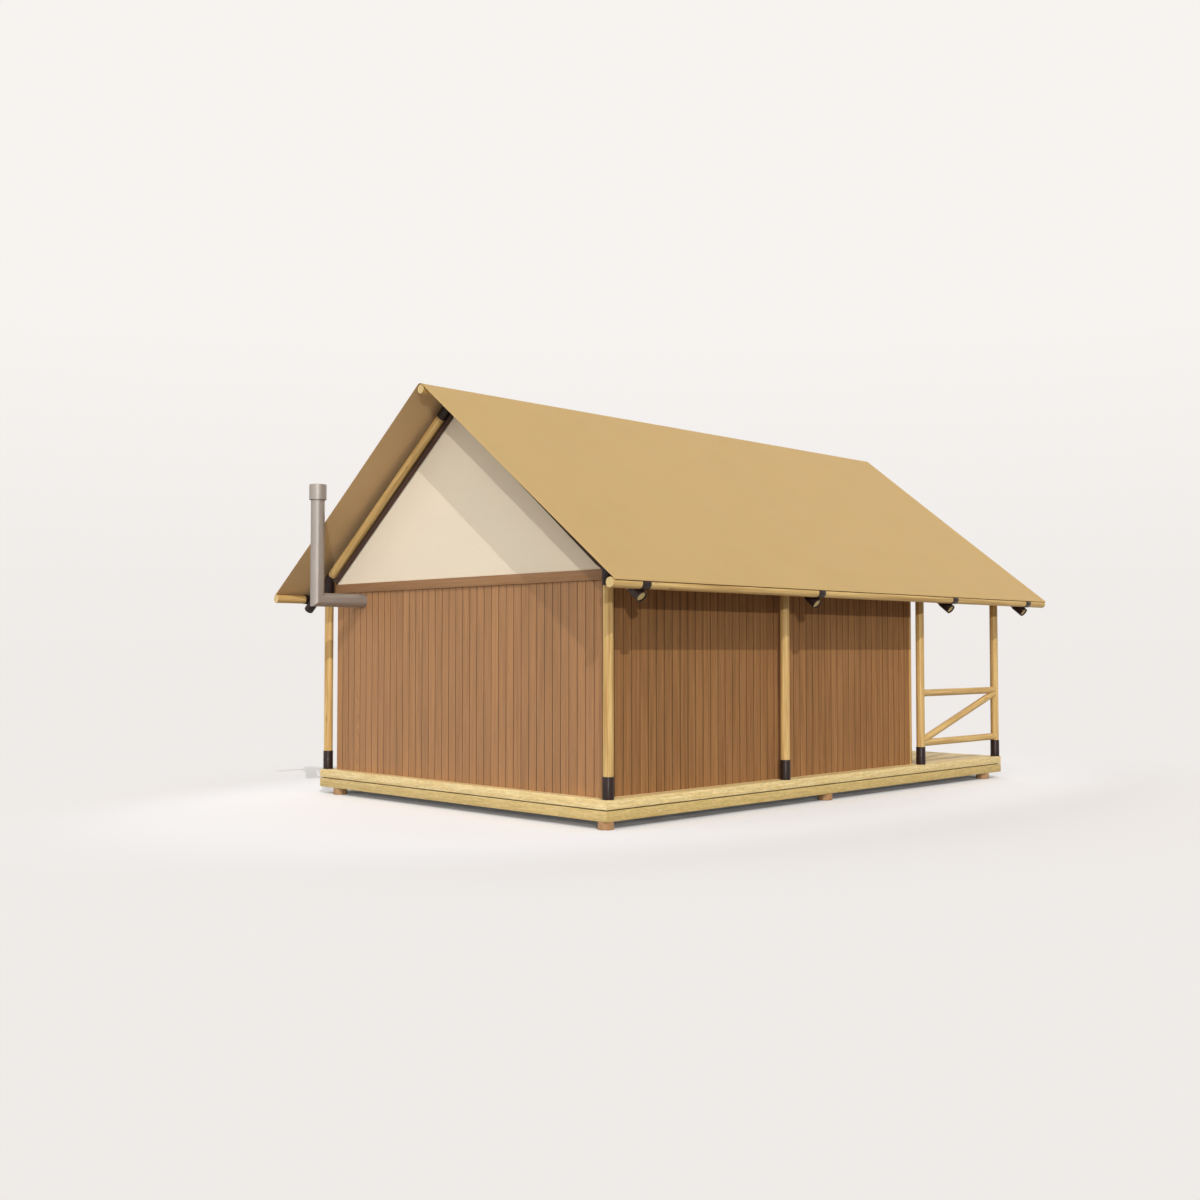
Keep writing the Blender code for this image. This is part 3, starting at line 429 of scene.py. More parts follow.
def add(tree, kind, inputs=(), out=0, **settings):
    """A new node with its settings and links; what comes back is its output socket.

    The inputs are links or values, by name or number, or in order. Colours need no opacity.
    """
    node = tree.nodes.new(kind)
    for name, value in settings.items():
        setattr(node, name, value)
    for name, value in inputs.items() if isinstance(inputs, dict) else enumerate(inputs):
        socket = node.inputs[name]
        if isinstance(value, bpy.types.NodeSocket):
            tree.links.new(value, socket)
        else:
            socket.default_value = (*value, 1.0) if socket.type == "RGBA" else value
    return node.outputs[out] if node.outputs else None


def new_material(name, inputs):
    """A material with one Principled shader, whose inputs get these values."""
    material = bpy.data.materials.new(name)
    material.use_nodes = True
    shader = material.node_tree.nodes["Principled BSDF"]
    for label, value in inputs.items():
        shader.inputs[label].default_value = value
    return material, material.node_tree, shader


def grain(tree, place, size, low=0.0, high=1.0, detail=2.0):
    """A noise spread from low to high; size is its grains' length and width in metres."""
    places = add(tree, VECTOR, (place, (size[0], size[1], size[-1])), operation="DIVIDE")
    noise = {"Vector": places, "Scale": 1.0, "Detail": detail}
    return add(tree, RANGE, (add(tree, "ShaderNodeTexNoise", noise), 0.3, 0.7, low, high))


def dress(tree, shader, tint, tones=(), roughness=None, height=None, depth=0.0005):
    """Link the colour, darkened by each tone in turn, the roughness and a bump of a real depth."""
    for tone in tones:
        tint = add(tree, VECTOR, {0: tint, "Scale": tone}, operation="SCALE")
    links = {"Base Color": tint, "Roughness": roughness}
    if height is not None:
        bump = {"Height": height, "Distance": depth, "Strength": 0.8}
        links["Normal"] = add(tree, "ShaderNodeBump", bump)
    for name, socket in links.items():
        if socket is not None:
            tree.links.new(socket, shader.inputs[name])


def pole_wood(look):
    """Debarked softwood under clear coat: long streaks, visible fibre, knots, rings on the ends."""
    material, tree, shader = new_material("debarked_softwood", {"Roughness": 0.6})
    place = add(tree, ATTRIBUTE, out="Vector", attribute_name="grain")
    streak = grain(tree, place, (0.9, 0.026), detail=3.0)
    wood = add(tree, BLEND, {0: streak, 6: look.pole_light, 7: look.pole_dark}, **MIX)
    # Fibre bundles of 2 mm are drawn 7 mm wide, or they wouldn't show from outside
    bundle = grain(tree, place, (0.35, 0.007), 1.07, 0.84)
    fibre = grain(tree, place, (0.14, 0.0024), 0.86, 1.06)
    spots = add(tree, VECTOR, (place, (0.62, 0.11, 0.11)), operation="DIVIDE")
    near = add(tree, "ShaderNodeTexVoronoi", {"Vector": spots, "Scale": 1.0}, "Distance")
    knot = add(tree, RANGE, (near, 0.10, 0.03, 0.0, 0.6))
    wood = add(tree, BLEND, {0: knot, 6: wood, 7: look.knot}, **MIX)
    # Year rings 5 mm apart, drawn round the middle of each sawn end
    across = add(tree, VECTOR, (place, (0.0, 1.0, 1.0)), operation="MULTIPLY")
    radius = add(tree, VECTOR, (across,), "Value", operation="LENGTH")
    wobble = grain(tree, across, (1.0, 0.04), -0.002, 0.002)
    shifted = add(tree, MATH, (radius, wobble), operation="ADD")
    turns = add(tree, MATH, (shifted, 2 * math.pi / 0.005), operation="MULTIPLY")
    wave = add(tree, MATH, (turns,), operation="SINE")
    ring = add(tree, RANGE, (wave, -1.0, 1.0, 0.0, 0.45))
    sawn = add(tree, BLEND, {0: ring, 6: look.pole_end, 7: look.pole_dark}, **MIX)
    cut = add(tree, ATTRIBUTE, out="Fac", attribute_name="sawn")
    tint = add(tree, BLEND, {0: cut, 6: wood, 7: sawn}, **MIX)
    rough = grain(tree, place, (0.2, 0.02), 0.52, 0.7)
    dress(tree, shader, tint, (bundle, fibre), rough, fibre, 0.0006)
    return material


def board_wood(
    name, along, light, dark, own=0.0, streak=(0.9, 0.03), fleck=(0.14, 0.006, 0.93), rough=0.58,
    shine=0.5,
):
    """Planed boards: each has its own tone, long streaks along it and short flecks between them."""
    material, tree, shader = new_material(name, {"Roughness": rough, "Specular IOR Level": shine})
    split = add(tree, SEPARATE, (add(tree, COORDS, out="Object"),)).node.outputs
    order = {"x": "XYZ", "y": "YZX", "z": "ZXY"}[along]
    place = add(tree, COMBINE, [split[axis] for axis in order])
    board = add(tree, ATTRIBUTE, out="Fac", attribute_name="board")
    jump = add(tree, MATH, (board, 31.7), operation="MULTIPLY")
    place = add(tree, VECTOR, (place, jump), operation="ADD")
    wood = {0: grain(tree, place, streak, detail=4.0), 6: light, 7: dark}
    tone = add(tree, RANGE, (board, 0.0, 1.0, 1.0 + own, 1.0 - own))
    # Faces in the slots and gaps are painted darker: painted shade where light would fill them
    joint = add(tree, ATTRIBUTE, out="Fac", attribute_name="joint")
    painted_joint_shade = add(tree, RANGE, (joint, 0.0, 1.0, 1.0, 0.35))
    flecks = grain(tree, place, fleck[:2], 2.0 - fleck[2], fleck[2], 3.0)
    # Fibres of under 1 mm are drawn 2.6 mm wide
    fibre = grain(tree, place, (0.16, 0.0026), 0.95, 1.04)
    gloss = grain(tree, place, (0.3, 0.03), rough - 0.08, rough + 0.08)
    tones = (tone, flecks, fibre, painted_joint_shade)
    dress(tree, shader, add(tree, BLEND, wood, **MIX), tones, gloss, fibre)
    return material


def canvas(name, tint, back=None, sheen=0.1):
    """Plain-weave coated canvas: matt, faintly uneven, with ribs, and where a back colour is given
    its underside is painted paler as light.
    """
    inputs = {"Roughness": 0.82, "Specular IOR Level": 0.25, "Sheen Roughness": 0.5}
    material, tree, shader = new_material(name, {**inputs, "Sheen Weight": sheen})
    cloth = add(tree, "ShaderNodeUVMap", uv_map="cloth")
    split = add(tree, SEPARATE, (cloth,)).node.outputs
    ribs = []
    # Threads of 0.6 mm are drawn 3.5 mm apart, or they would melt together
    for axis in "XY":
        turns = add(tree, MATH, (split[axis], 2 * math.pi / 0.0035), operation="MULTIPLY")
        ribs.append(add(tree, MATH, (turns,), operation="SINE"))
    weave = add(tree, MATH, ribs, operation="MULTIPLY")
    mottle = grain(tree, cloth, (0.9, 0.9), 0.985, 1.015, 3.0)
    slub = grain(tree, cloth, (0.11, 0.006), 0.98, 1.02)
    rough = grain(tree, cloth, (0.5, 0.5), 0.78, 0.9)
    # Where a back colour is given, the downward faces are painted paler: painted light
    under = add(tree, ATTRIBUTE, out="Fac", attribute_name="back")
    shade = add(tree, BLEND, {0: under, 6: tint, 7: back or tint}, **MIX)
    dress(tree, shader, shade, (mottle, slub), rough, weave, 0.0004)
    return material


def coated_steel(name, tint):
    """Powder-coated steel: a satin skin with a slight orange peel, rubbed a little in places."""
    material, tree, shader = new_material(name, {"Roughness": 0.3, "Specular IOR Level": 0.2})
    place = add(tree, COORDS, out="Object")
    rubbed = grain(tree, place, (0.11, 0.11), 0.0, 0.3, 3.0)
    worn = [min(1.0, 1.3 * part) for part in tint]
    shade = add(tree, BLEND, {0: rubbed, 6: tint, 7: worn}, **MIX)
    rough = grain(tree, place, (0.09, 0.09), 0.25, 0.4, 3.0)
    # Orange peel of 1 to 2 mm is drawn 4 mm wide
    dress(tree, shader, shade, (), rough, grain(tree, place, (0.004, 0.004)), 0.0002)
    return material


def satin_stainless(name, tint):
    """Weathered satin stainless sheet: soft broad shine, fine rolling lines along the pipe."""
    material, tree, shader = new_material(name, {"Metallic": 0.45})
    place = add(tree, COORDS, out="Object")
    lines = grain(tree, place, (0.004, 0.004, 0.16), 0.97, 1.03)
    cloud = grain(tree, place, (0.3, 0.3), 0.95, 1.04)
    rough = grain(tree, place, (0.004, 0.004, 0.16), 0.44, 0.56)
    dress(tree, shader, tuple(tint), (lines, cloud), rough, lines, 0.0001)
    return material


def window_glass():
    """Clear float glass: mirror smooth and a little green, with a trace of dust."""
    inputs = {"Roughness": 0.02, "Transmission Weight": 1.0, "IOR": 1.5}
    material, tree, shader = new_material("float_glass", inputs)
    dust = grain(tree, add(tree, COORDS, out="Object"), (0.25, 0.25), detail=3.0)
    panes = {0: dust, 6: linear("#F6FBF8"), 7: linear("#EDF5F0")}
    dress(tree, shader, add(tree, BLEND, panes, **MIX))
    return material


MATERIALS = {}


def make_materials():
    """Every finish, once."""
    look = bpy.context.scene.tent_colours
    rear, side = (look.lit_rear_light, look.lit_rear_dark), (look.side_light, look.side_dark)
    deck, rim = (look.deck_light, look.deck_dark), (look.rim_light, look.rim_dark)
    fresh = {"streak": (0.3, 0.02), "fleck": (0.06, 0.014, 0.86), "rough": 0.68, "shine": 0.3}
    # The crosswise sills and rims face the rear and front; this copy gets more shine so that they
    # read paler there: painted light
    lit_crosswise_shine = {**fresh, "rough": 0.6, "shine": 0.7}
    MATERIALS.update(
        pole=pole_wood(look),
        # The rear boards are a paler copy with more shine than the others, whose shine is cut low:
        # painted light on the rear wall
        rear=board_wood("stained_rear_boards", "z", *rear, 0.08),
        side=board_wood("stained_side_boards", "z", *side, 0.08, shine=0.05),
        header=board_wood("stained_header", "y", look.header, look.side_dark),
        floor=board_wood("planed_deck_boards", "x", *deck, 0.06, **fresh),
        sill_x=board_wood("planed_sill_lengthwise", "x", *deck, **fresh),
        sill_y=board_wood("planed_sill_crosswise", "y", *deck, **lit_crosswise_shine),
        rim_x=board_wood("sawn_rim_lengthwise", "x", *rim, **fresh),
        rim_y=board_wood("sawn_rim_crosswise", "y", *rim, **lit_crosswise_shine),
        pier=board_wood("pier_wood", "z", look.pier, look.lit_rear_light, rough=0.75),
        door=board_wood("planed_softwood_upright", "z", look.trim, look.pole_dark),
        door_y=board_wood("planed_softwood_crosswise", "y", look.trim, look.pole_dark),
        fly=canvas("sand_fly_canvas", look.fly, look.fly_underside_lit),
        roof=canvas("dark_brown_canvas", look.inner_roof, sheen=0.03),
        gable=canvas("cream_canvas", look.gable),
        keder=canvas("brown_keder", look.keder, sheen=0.0),
        thread=canvas("sand_thread", look.pole_light, sheen=0.0),
        steel=coated_steel("powder_coated_steel", look.steel),
        screw=coated_steel("zinc_screws", look.screw),
        flue=satin_stainless("satin_stainless", look.flue),
        lever=coated_steel("anodised_lever", look.lever),
        glass=window_glass(),
    )


def link_mesh(name, mesh):
    """An object at the origin that holds the mesh."""
    obj = bpy.data.objects.new(name, mesh)
    bpy.context.scene.collection.objects.link(obj)
    return obj


def shape_object(name, shape):
    """An object from a closed bmesh, with its faces pointing out."""
    bmesh.ops.recalc_face_normals(shape, faces=shape.faces)
    mesh = bpy.data.meshes.new(name)
    shape.to_mesh(mesh)
    shape.free()
    return link_mesh(name, mesh)


def freeze(obj):
    """Turn the object into a plain mesh of what its modifiers make of it."""
    graph = bpy.context.evaluated_depsgraph_get()
    obj.data = bpy.data.meshes.new_from_object(obj.evaluated_get(graph))
    obj.modifiers.clear()
    return obj


def settle(obj, material, replaces=(), body="tent", smooth=35.0):
    """Give a finished piece its material and shading, tie it to its body and hide the solids it
    replaces.
    """
    if not obj.data.materials:
        obj.data.materials.append(MATERIALS[material])
    obj.data.shade_smooth()
    obj.data.set_sharp_from_angle(angle=math.radians(smooth))
    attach(obj, body)
    if replaces:
        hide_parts(*replaces)
    return obj


def together(shapes):
    """One bmesh that holds several shapes which don't touch."""
    whole = bmesh.new()
    for shape in shapes:
        mesh = bpy.data.meshes.new("shape")
        shape.to_mesh(mesh)
        shape.free()
        whole.from_mesh(mesh)
        bpy.data.meshes.remove(mesh)
    return whole


def eased(name, shapes, ease):
    """One object from closed shapes, its sharp edges rounded."""
    obj = shape_object(name, together(shapes))
    modifier = obj.modifiers.new("Bevel", "BEVEL")
    modifier.width, modifier.segments = EASE[ease]
    modifier.limit_method = "ANGLE"
    modifier.angle_limit = math.radians(30.0)
    return freeze(obj)


def timber(name, shapes, ease, material, replaces=(), body="tent"):
    """A settled piece of closed shapes with rounded edges."""
    return settle(eased(name, shapes, ease), material, replaces, body)


def new_tree(name, **sockets):
    """A geometry tree with named inputs; it returns the tree and its input node's sockets."""
    tree = bpy.data.node_groups.new(name, "GeometryNodeTree")
    tree.is_modifier = True
    for in_out in ("INPUT", "OUTPUT"):
        tree.interface.new_socket("Geometry", in_out=in_out, socket_type="NodeSocketGeometry")
    for label, kind in (*sockets.items(), ("Material", "Material")):
        tree.interface.new_socket(label, in_out="INPUT", socket_type=f"NodeSocket{kind}")
    return tree, tree.nodes.new("NodeGroupInput").outputs


def end_tree(tree, geometry, material):
    """Realize what the tree made, give it its material and hand it out."""
    real = add(tree, "GeometryNodeRealizeInstances", (geometry,))
    dressed = {"Geometry": real, "Material": material}
    add(tree, "NodeGroupOutput", (add(tree, "GeometryNodeSetMaterial", dressed),))
    return tree


def grow(obj, tree, **values):
    """Turn a guide object into the plain mesh that the tree makes of it."""
    modifier = obj.modifiers.new("Nodes", "NODES")
    modifier.node_group = TREES[tree]
    for item in TREES[tree].interface.items_tree:
        if item.in_out == "INPUT" and item.name in values:
            modifier[item.identifier] = values[item.name]
    return freeze(obj)


def pole_tree():
    """Poles along guide lines: faintly uneven, chamfered at both ends, with their own grain."""
    sockets = {"Radius": "Float", "Sides": "Int", "Unevenness": "Float", "Chamfer": "Float"}
    tree, given = new_tree("Poles", **sockets)
    line = add(tree, "GeometryNodeMeshToCurve", (given["Geometry"],))
    along = add(tree, "GeometryNodeSplineParameter", out="Length")
    whole = add(tree, "GeometryNodeSplineLength", out="Length")
    left = add(tree, MATH, (whole, along), operation="SUBTRACT")
    near = add(tree, MATH, (along, left), operation="MINIMUM")
    cut = add(tree, MATH, (given["Chamfer"], near), operation="SUBTRACT")
    kept = add(tree, MATH, (cut, 0.0), operation="MAXIMUM")
    radius = add(tree, MATH, (given["Radius"], kept), operation="SUBTRACT")
    keep = add(tree, "GeometryNodeCaptureAttribute", {"Geometry": line}).node
    place = add(tree, "GeometryNodeInputPosition")
    for kind, label, source in (
        ("VECTOR", "Centre", place),
        ("VECTOR", "Normal", add(tree, "GeometryNodeInputNormal")),
        ("VECTOR", "Tangent", add(tree, "GeometryNodeInputTangent")),
        ("FLOAT", "Along", along),
    ):
        keep.capture_items.new(kind, label)
        tree.links.new(source, keep.inputs[label])
    kept = keep.outputs
    unit = {"Resolution": given["Sides"], "Radius": 1.0}
    ring = add(tree, "GeometryNodeCurvePrimitiveCircle", unit)
    sweep = {"Curve": kept["Geometry"], "Profile Curve": ring, "Scale": radius, "Fill Caps": True}
    tube = add(tree, "GeometryNodeCurveToMesh", sweep)
    out = add(tree, VECTOR, (place, kept["Centre"]), operation="SUBTRACT")
    side = add(tree, VECTOR, (kept["Tangent"], kept["Normal"]), operation="CROSS_PRODUCT")
    v, w = (
        add(tree, VECTOR, (out, way), "Value", operation="DOT_PRODUCT")
        for way in (kept["Normal"], side)
    )
    start = add(tree, "GeometryNodeInputNamedAttribute", {"Name": "start"}, data_type="FLOAT")
    travel = add(tree, MATH, (kept["Along"], start), operation="ADD")
    stored = {"Geometry": tube, "Name": "grain", "Value": add(tree, COMBINE, (travel, v, w))}
    domain = {"data_type": "FLOAT_VECTOR", "domain": "POINT"}
    stored = add(tree, "GeometryNodeStoreNamedAttribute", stored, **domain)
    bumps = {"Vector": place, "Scale": 5.0, "Detail": 1.0}
    swell = add(tree, RANGE, (add(tree, "ShaderNodeTexNoise", bumps), 0.25, 0.75, -1.0, 0.0))
    size = add(tree, MATH, (swell, given["Unevenness"]), operation="MULTIPLY")
    way = add(tree, VECTOR, (out,), operation="NORMALIZE")
    shift = add(tree, VECTOR, {0: way, "Scale": size}, operation="SCALE")
    uneven = add(tree, "GeometryNodeSetPosition", {"Geometry": stored, "Offset": shift})
    return end_tree(tree, uneven, given["Material"])


def row_tree():
    """Copies of one board in a row, each with a number of its own from 0 to 1."""
    tree, given = new_tree("Row of boards", Count="Int", Step="Vector", Seed="Int")
    line = {"Count": given["Count"], "Offset": given["Step"]}
    boards = {"Points": add(tree, "GeometryNodeMeshLine", line), "Instance": given["Geometry"]}
    boards = add(tree, "GeometryNodeInstanceOnPoints", boards)
    number = add(tree, "FunctionNodeRandomValue", {"Seed": given["Seed"]}, 1, data_type="FLOAT")
    stored = {"Geometry": boards, "Name": "board", "Value": number}
    domain = {"data_type": "FLOAT", "domain": "INSTANCE"}
    stored = add(tree, "GeometryNodeStoreNamedAttribute", stored, **domain)
    return end_tree(tree, stored, given["Material"])


def place_piece(tree, given, points, way, axis):
    """The given piece at every point, its axis along the way there."""
    turn = add(tree, "FunctionNodeAlignRotationToVector", {"Vector": way}, axis=axis)
    piece = add(tree, "GeometryNodeObjectInfo", {"Object": given["Piece"]}, "Geometry")
    places = {"Points": points, "Instance": piece, "Rotation": turn}
    placed = add(tree, "GeometryNodeInstanceOnPoints", places)
    return end_tree(tree, placed, given["Material"])


def spot_tree():
    """One small piece at each point of the guide, its Z along the point's facing attribute."""
    tree, given = new_tree("Fasteners", Piece="Object")
    name = {"Name": "facing"}
    facing = add(tree, "GeometryNodeInputNamedAttribute", name, data_type="FLOAT_VECTOR")
    points = add(tree, "GeometryNodeMeshToPoints", {"Mesh": given["Geometry"]})
    return place_piece(tree, given, points, facing, "Z")


def stitch_tree():
    """Stitches at even steps along guide lines, each lying along its line."""
    tree, given = new_tree("Stitches", Piece="Object", Step="Float")
    line = add(tree, "GeometryNodeMeshToCurve", {"Mesh": given["Geometry"]})
    steps = {"Curve": line, "Length": given["Step"]}
    evenly = add(tree, "GeometryNodeResampleCurve", steps, mode="LENGTH")
    return place_piece(tree, given, evenly, add(tree, "GeometryNodeInputTangent"), "X")


TREES = {}


def make_trees():
    """Every geometry tree, once."""
    TREES.update(pole=pole_tree(), row=row_tree(), spot=spot_tree(), stitch=stitch_tree())


def guide(name, lines, start=0.0):
    """A guide object: an edge line through each list of points, and where its grain starts."""
    points, edges = [], []
    for line in lines:
        edges += [(i, i + 1) for i in range(len(points), len(points) + len(line) - 1)]
        points += [tuple(map(float, place)) for place in line]
    mesh = bpy.data.meshes.new(name)
    mesh.from_pydata(points, edges, [])
    starts = mesh.attributes.new("start", "FLOAT", "POINT")
    starts.data.foreach_set("value", [start] * len(points))
    return link_mesh(name, mesh)


def mark(obj, name, chosen):
    """Store 1 on the faces that are chosen, and 0 on the others."""
    marks = obj.data.attributes.new(name, "FLOAT", "FACE")
    marks.data.foreach_set("value", [float(chosen(face)) for face in obj.data.polygons])
    return obj


def pole(name, ends, radius, seed):
    """A round pole between two points, as its own object."""
    start, end = map(Vector, ends)
    look = bpy.context.scene.tent_sizes
    chamfer = look.pole_chamfer
    whole = (end - start).length
    count = max(2, round(whole / POLE_STEP))
    inner = [whole * i / count for i in range(1, count)]
    line = [start.lerp(end, d / whole) for d in (0.0, chamfer, *inner, whole - chamfer, whole)]
    obj = grow(
        guide(name, [line], random.Random(seed).uniform(0.0, GRAIN_SPREAD)), "pole",
        Radius=radius, Sides=look.pole_sides, Unevenness=POLE_UNEVENNESS, Chamfer=chamfer,
        Material=MATERIALS["pole"],
    )
    return mark(obj, "sawn", lambda face: len(face.vertices) > 4)


def circle(radius, sides=TUBE_SIDES, first=0.5):
    """Pairs of distances round a circle, the first one a part of a step round it."""
    angles = [2 * math.pi * (step + first) / sides for step in range(sides)]
    return [(radius * math.cos(angle), radius * math.sin(angle)) for angle in angles]


def skin(rings, closed=False):
    """A closed bmesh over rings of points, where a ring may be one point or get a flat cap."""
    shape = bmesh.new()
    rings = [[shape.verts.new(spot) for spot in ring] for ring in rings]
    for low, high in zip(rings, rings[1:] + (rings[:1] if closed else [])):
        for i in range(max(len(low), len(high))):
            pairs = ((low, i), (low, i + 1), (high, i + 1), (high, i))
            shape.faces.new(dict.fromkeys(ring[k % len(ring)] for ring, k in pairs))
    if not closed and len(rings[0]) > 1:
        shape.faces.new(rings[0][::-1])
        shape.faces.new(rings[-1])
    bmesh.ops.recalc_face_normals(shape, faces=shape.faces)
    return shape


def turned(profile, start, direction, sides=TUBE_SIDES):
    """A closed bmesh turned round an axis, from pairs of distance along it and radius."""
    turn = UP.rotation_difference(Vector(direction)).to_matrix()
    rings = []
    for distance, radius in profile:
        spots = circle(radius, sides) if radius > 0 else [(0.0, 0.0)]
        rings.append([Vector(start) + turn @ Vector((x, y, distance)) for x, y in spots])
    return skin(rings, closed=len(rings[0]) > 1)


def bar(start, end, radius, rim=RIM, sides=TUBE_SIDES):
    """A solid bar between two points, with rounded ends, or plain ones where rim is 0."""
    way = Vector(end) - Vector(start)
    angles = RIM_ARC if rim else (0,)
    arc = [(rim - rim * math.cos(a), radius - rim + rim * math.sin(a)) for a in angles]
    far = [(way.length - distance, r) for distance, r in reversed(arc)]
    return turned([(0.0, 0.0), *arc, *far, (way.length, 0.0)], start, way, sides)


def moved(shape, matrix):
    """The same bmesh, moved by a matrix."""
    shape.transform(matrix)
    return shape


def box(low, high):
    """A closed box between two corners."""
    low, high = Vector(low), Vector(high)
    shape = bmesh.new()
    bmesh.ops.create_cube(shape, size=1.0)
    return moved(
        shape, Matrix.Translation((low + high) / 2) @ Matrix.Diagonal((*(high - low), 1.0))
    )


def pushed(outline, direction):
    """A closed solid: a flat outline pushed along a direction."""
    shape = bmesh.new()
    base = shape.faces.new([shape.verts.new(point) for point in outline])
    new = bmesh.ops.extrude_face_region(shape, geom=[base])["geom"]
    corners = [item for item in new if isinstance(item, bmesh.types.BMVert)]
    bmesh.ops.translate(shape, vec=Vector(direction), verts=corners)
    bmesh.ops.recalc_face_normals(shape, faces=shape.faces)
    return shape


def combine(obj, shape, operation="DIFFERENCE"):
    """Cut a closed shape out of the object, or join it; all faces become triangles first."""
    bmesh.ops.triangulate(shape, faces=shape.faces)
    tool = shape_object("tool", shape)
    base = bmesh.new()
    base.from_mesh(obj.data)
    bmesh.ops.triangulate(base, faces=base.faces)
    base.to_mesh(obj.data)
    base.free()
    modifier = obj.modifiers.new("Boolean", "BOOLEAN")
    modifier.operation, modifier.solver, modifier.object = operation, "EXACT", tool
    freeze(obj)
    bpy.data.objects.remove(tool, do_unlink=True)
    return obj


def fitted(name, solids, holes=()):
    """One object from closed solids that meet, with holes through it."""
    obj = shape_object(name, solids[0])
    for shape in solids[1:]:
        combine(obj, shape, "UNION")
    for shape in holes:
        combine(obj, shape)
    return obj


def keep_largest(obj):
    """Drop the slivers that coping leaves beyond a cut, and keep the longest piece."""
    shape = bmesh.new()
    shape.from_mesh(obj.data)
    left, pieces = set(shape.verts), []
    while left:
        piece = near = {left.pop()}
        while near:
            near = {edge.other_vert(vert) for vert in near for edge in vert.link_edges} & left
            left -= near
            piece = piece | near
        pieces.append(piece)
    for piece in sorted(pieces, key=len)[:-1]:
        bmesh.ops.delete(shape, geom=list(piece), context="VERTS")
    shape.to_mesh(obj.data)
    shape.free()
    return obj


def copies(obj, matrices):
    """Turn the object into one mesh with a copy of it at each matrix."""
    whole = bmesh.new()
    for matrix in matrices:
        one = obj.data.copy()
        one.transform(matrix)
        whole.from_mesh(one)
        bpy.data.meshes.remove(one)
    whole.to_mesh(obj.data)
    whole.free()
    return obj


def row_matrices(turns=(Matrix.Identity(4), HALF_TURN)):
    """Places of the right-hand pieces in their rows, turned half round for the left-hand ones."""
    return [Matrix.Translation((x, 0.0, 0.0)) @ turn for turn in turns for x in ROW_X]


def names(stem, sides=("_right", "_left")):
    """The names of a piece's nodes in every row, on both sides."""
    return [f"{stem}{side}_{row}" for side in sides for row in ROWS]


def fasteners(name, spots, parts, radius, material, body="tent"):
    """Heads of fasteners at points; each spot is a place and the way it faces."""
    mesh = bpy.data.meshes.new(name)
    mesh.from_pydata([tuple(place) for place, _ in spots], [], [])
    facing = mesh.attributes.new("facing", "FLOAT_VECTOR", "POINT")
    facing.data.foreach_set("vector", [value for _, way in spots for value in way])
    turned_parts = []
    for steps, sides in parts:
        profile = [(distance * radius, across * radius) for distance, across in steps]
        turned_parts.append(turned(profile, (0, 0, 0), UP, sides))
    head = fitted("head", turned_parts)
    obj = grow(link_mesh(name, mesh), "spot", Piece=head, Material=MATERIALS[material])
    bpy.data.objects.remove(head, do_unlink=True)
    return settle(obj, material, body=body)


def surface(name, across, along, point, thickness, scale):
    """A sheet over two lists of distances; point gives places for whole arrays of them."""
    u, v = (grid.ravel() for grid in np.meshgrid(across, along))
    width = len(across)
    starts = [row * width + i for row in range(len(along) - 1) for i in range(width - 1)]
    faces = [(i, i + 1, i + width + 1, i + width) for i in starts]
    mesh = bpy.data.meshes.new(name)
    mesh.from_pydata([tuple(map(float, place)) for place in point(u, v)], [], faces)
    layer = mesh.uv_layers.new(name="cloth")
    corners = np.array([loop.vertex_index for loop in mesh.loops])
    cloth = np.stack([u[corners] * scale[0], v[corners] * scale[1]], 1)
    layer.data.foreach_set("uv", cloth.ravel())
    obj = link_mesh(name, mesh)
    modifier = obj.modifiers.new("Solidify", "SOLIDIFY")
    modifier.thickness, modifier.offset = thickness, 0.0
    return freeze(obj)


def join(name, objects):
    """One object from several sheets, with their maps."""
    whole = bmesh.new()
    whole.loops.layers.uv.new("cloth")
    for obj in objects:
        whole.from_mesh(obj.data)
        bpy.data.objects.remove(obj, do_unlink=True)
    mesh = bpy.data.meshes.new(name)
    whole.to_mesh(mesh)
    whole.free()
    return link_mesh(name, mesh)


def stitches(name, lines):
    """Rows of stitches along lists of points."""
    look = bpy.context.scene.tent_sizes
    far = look.stitch - THREAD_TIP
    profile = [(0.0, 0.0), (THREAD_TIP, THREAD_RADIUS), (far, THREAD_RADIUS), (look.stitch, 0.0)]
    piece = shape_object("stitch", turned(profile, (-look.stitch / 2, 0, 0), ALONG, 5))
    thread = MATERIALS["thread"]
    obj = grow(guide(name, lines), "stitch", Piece=piece, Step=look.stitch_step, Material=thread)
    bpy.data.objects.remove(piece, do_unlink=True)
    return settle(obj, "thread")


def fly_ends(s):
    """Where the fly starts and ends along X, at a distance s over the cloth from the ridge."""
    share = np.clip(np.abs(s) / FLY_HALF, 0.0, 1.0)
    hollow = RAKE_HOLLOW * 4 * share * (1 - share)
    rear = FLY_REAR_RIDGE + (FLY_REAR_EAVE - FLY_REAR_RIDGE) * share + hollow
    front = FLY_FRONT_RIDGE + (FLY_FRONT_EAVE - FLY_FRONT_RIDGE) * share - hollow
    return rear, front


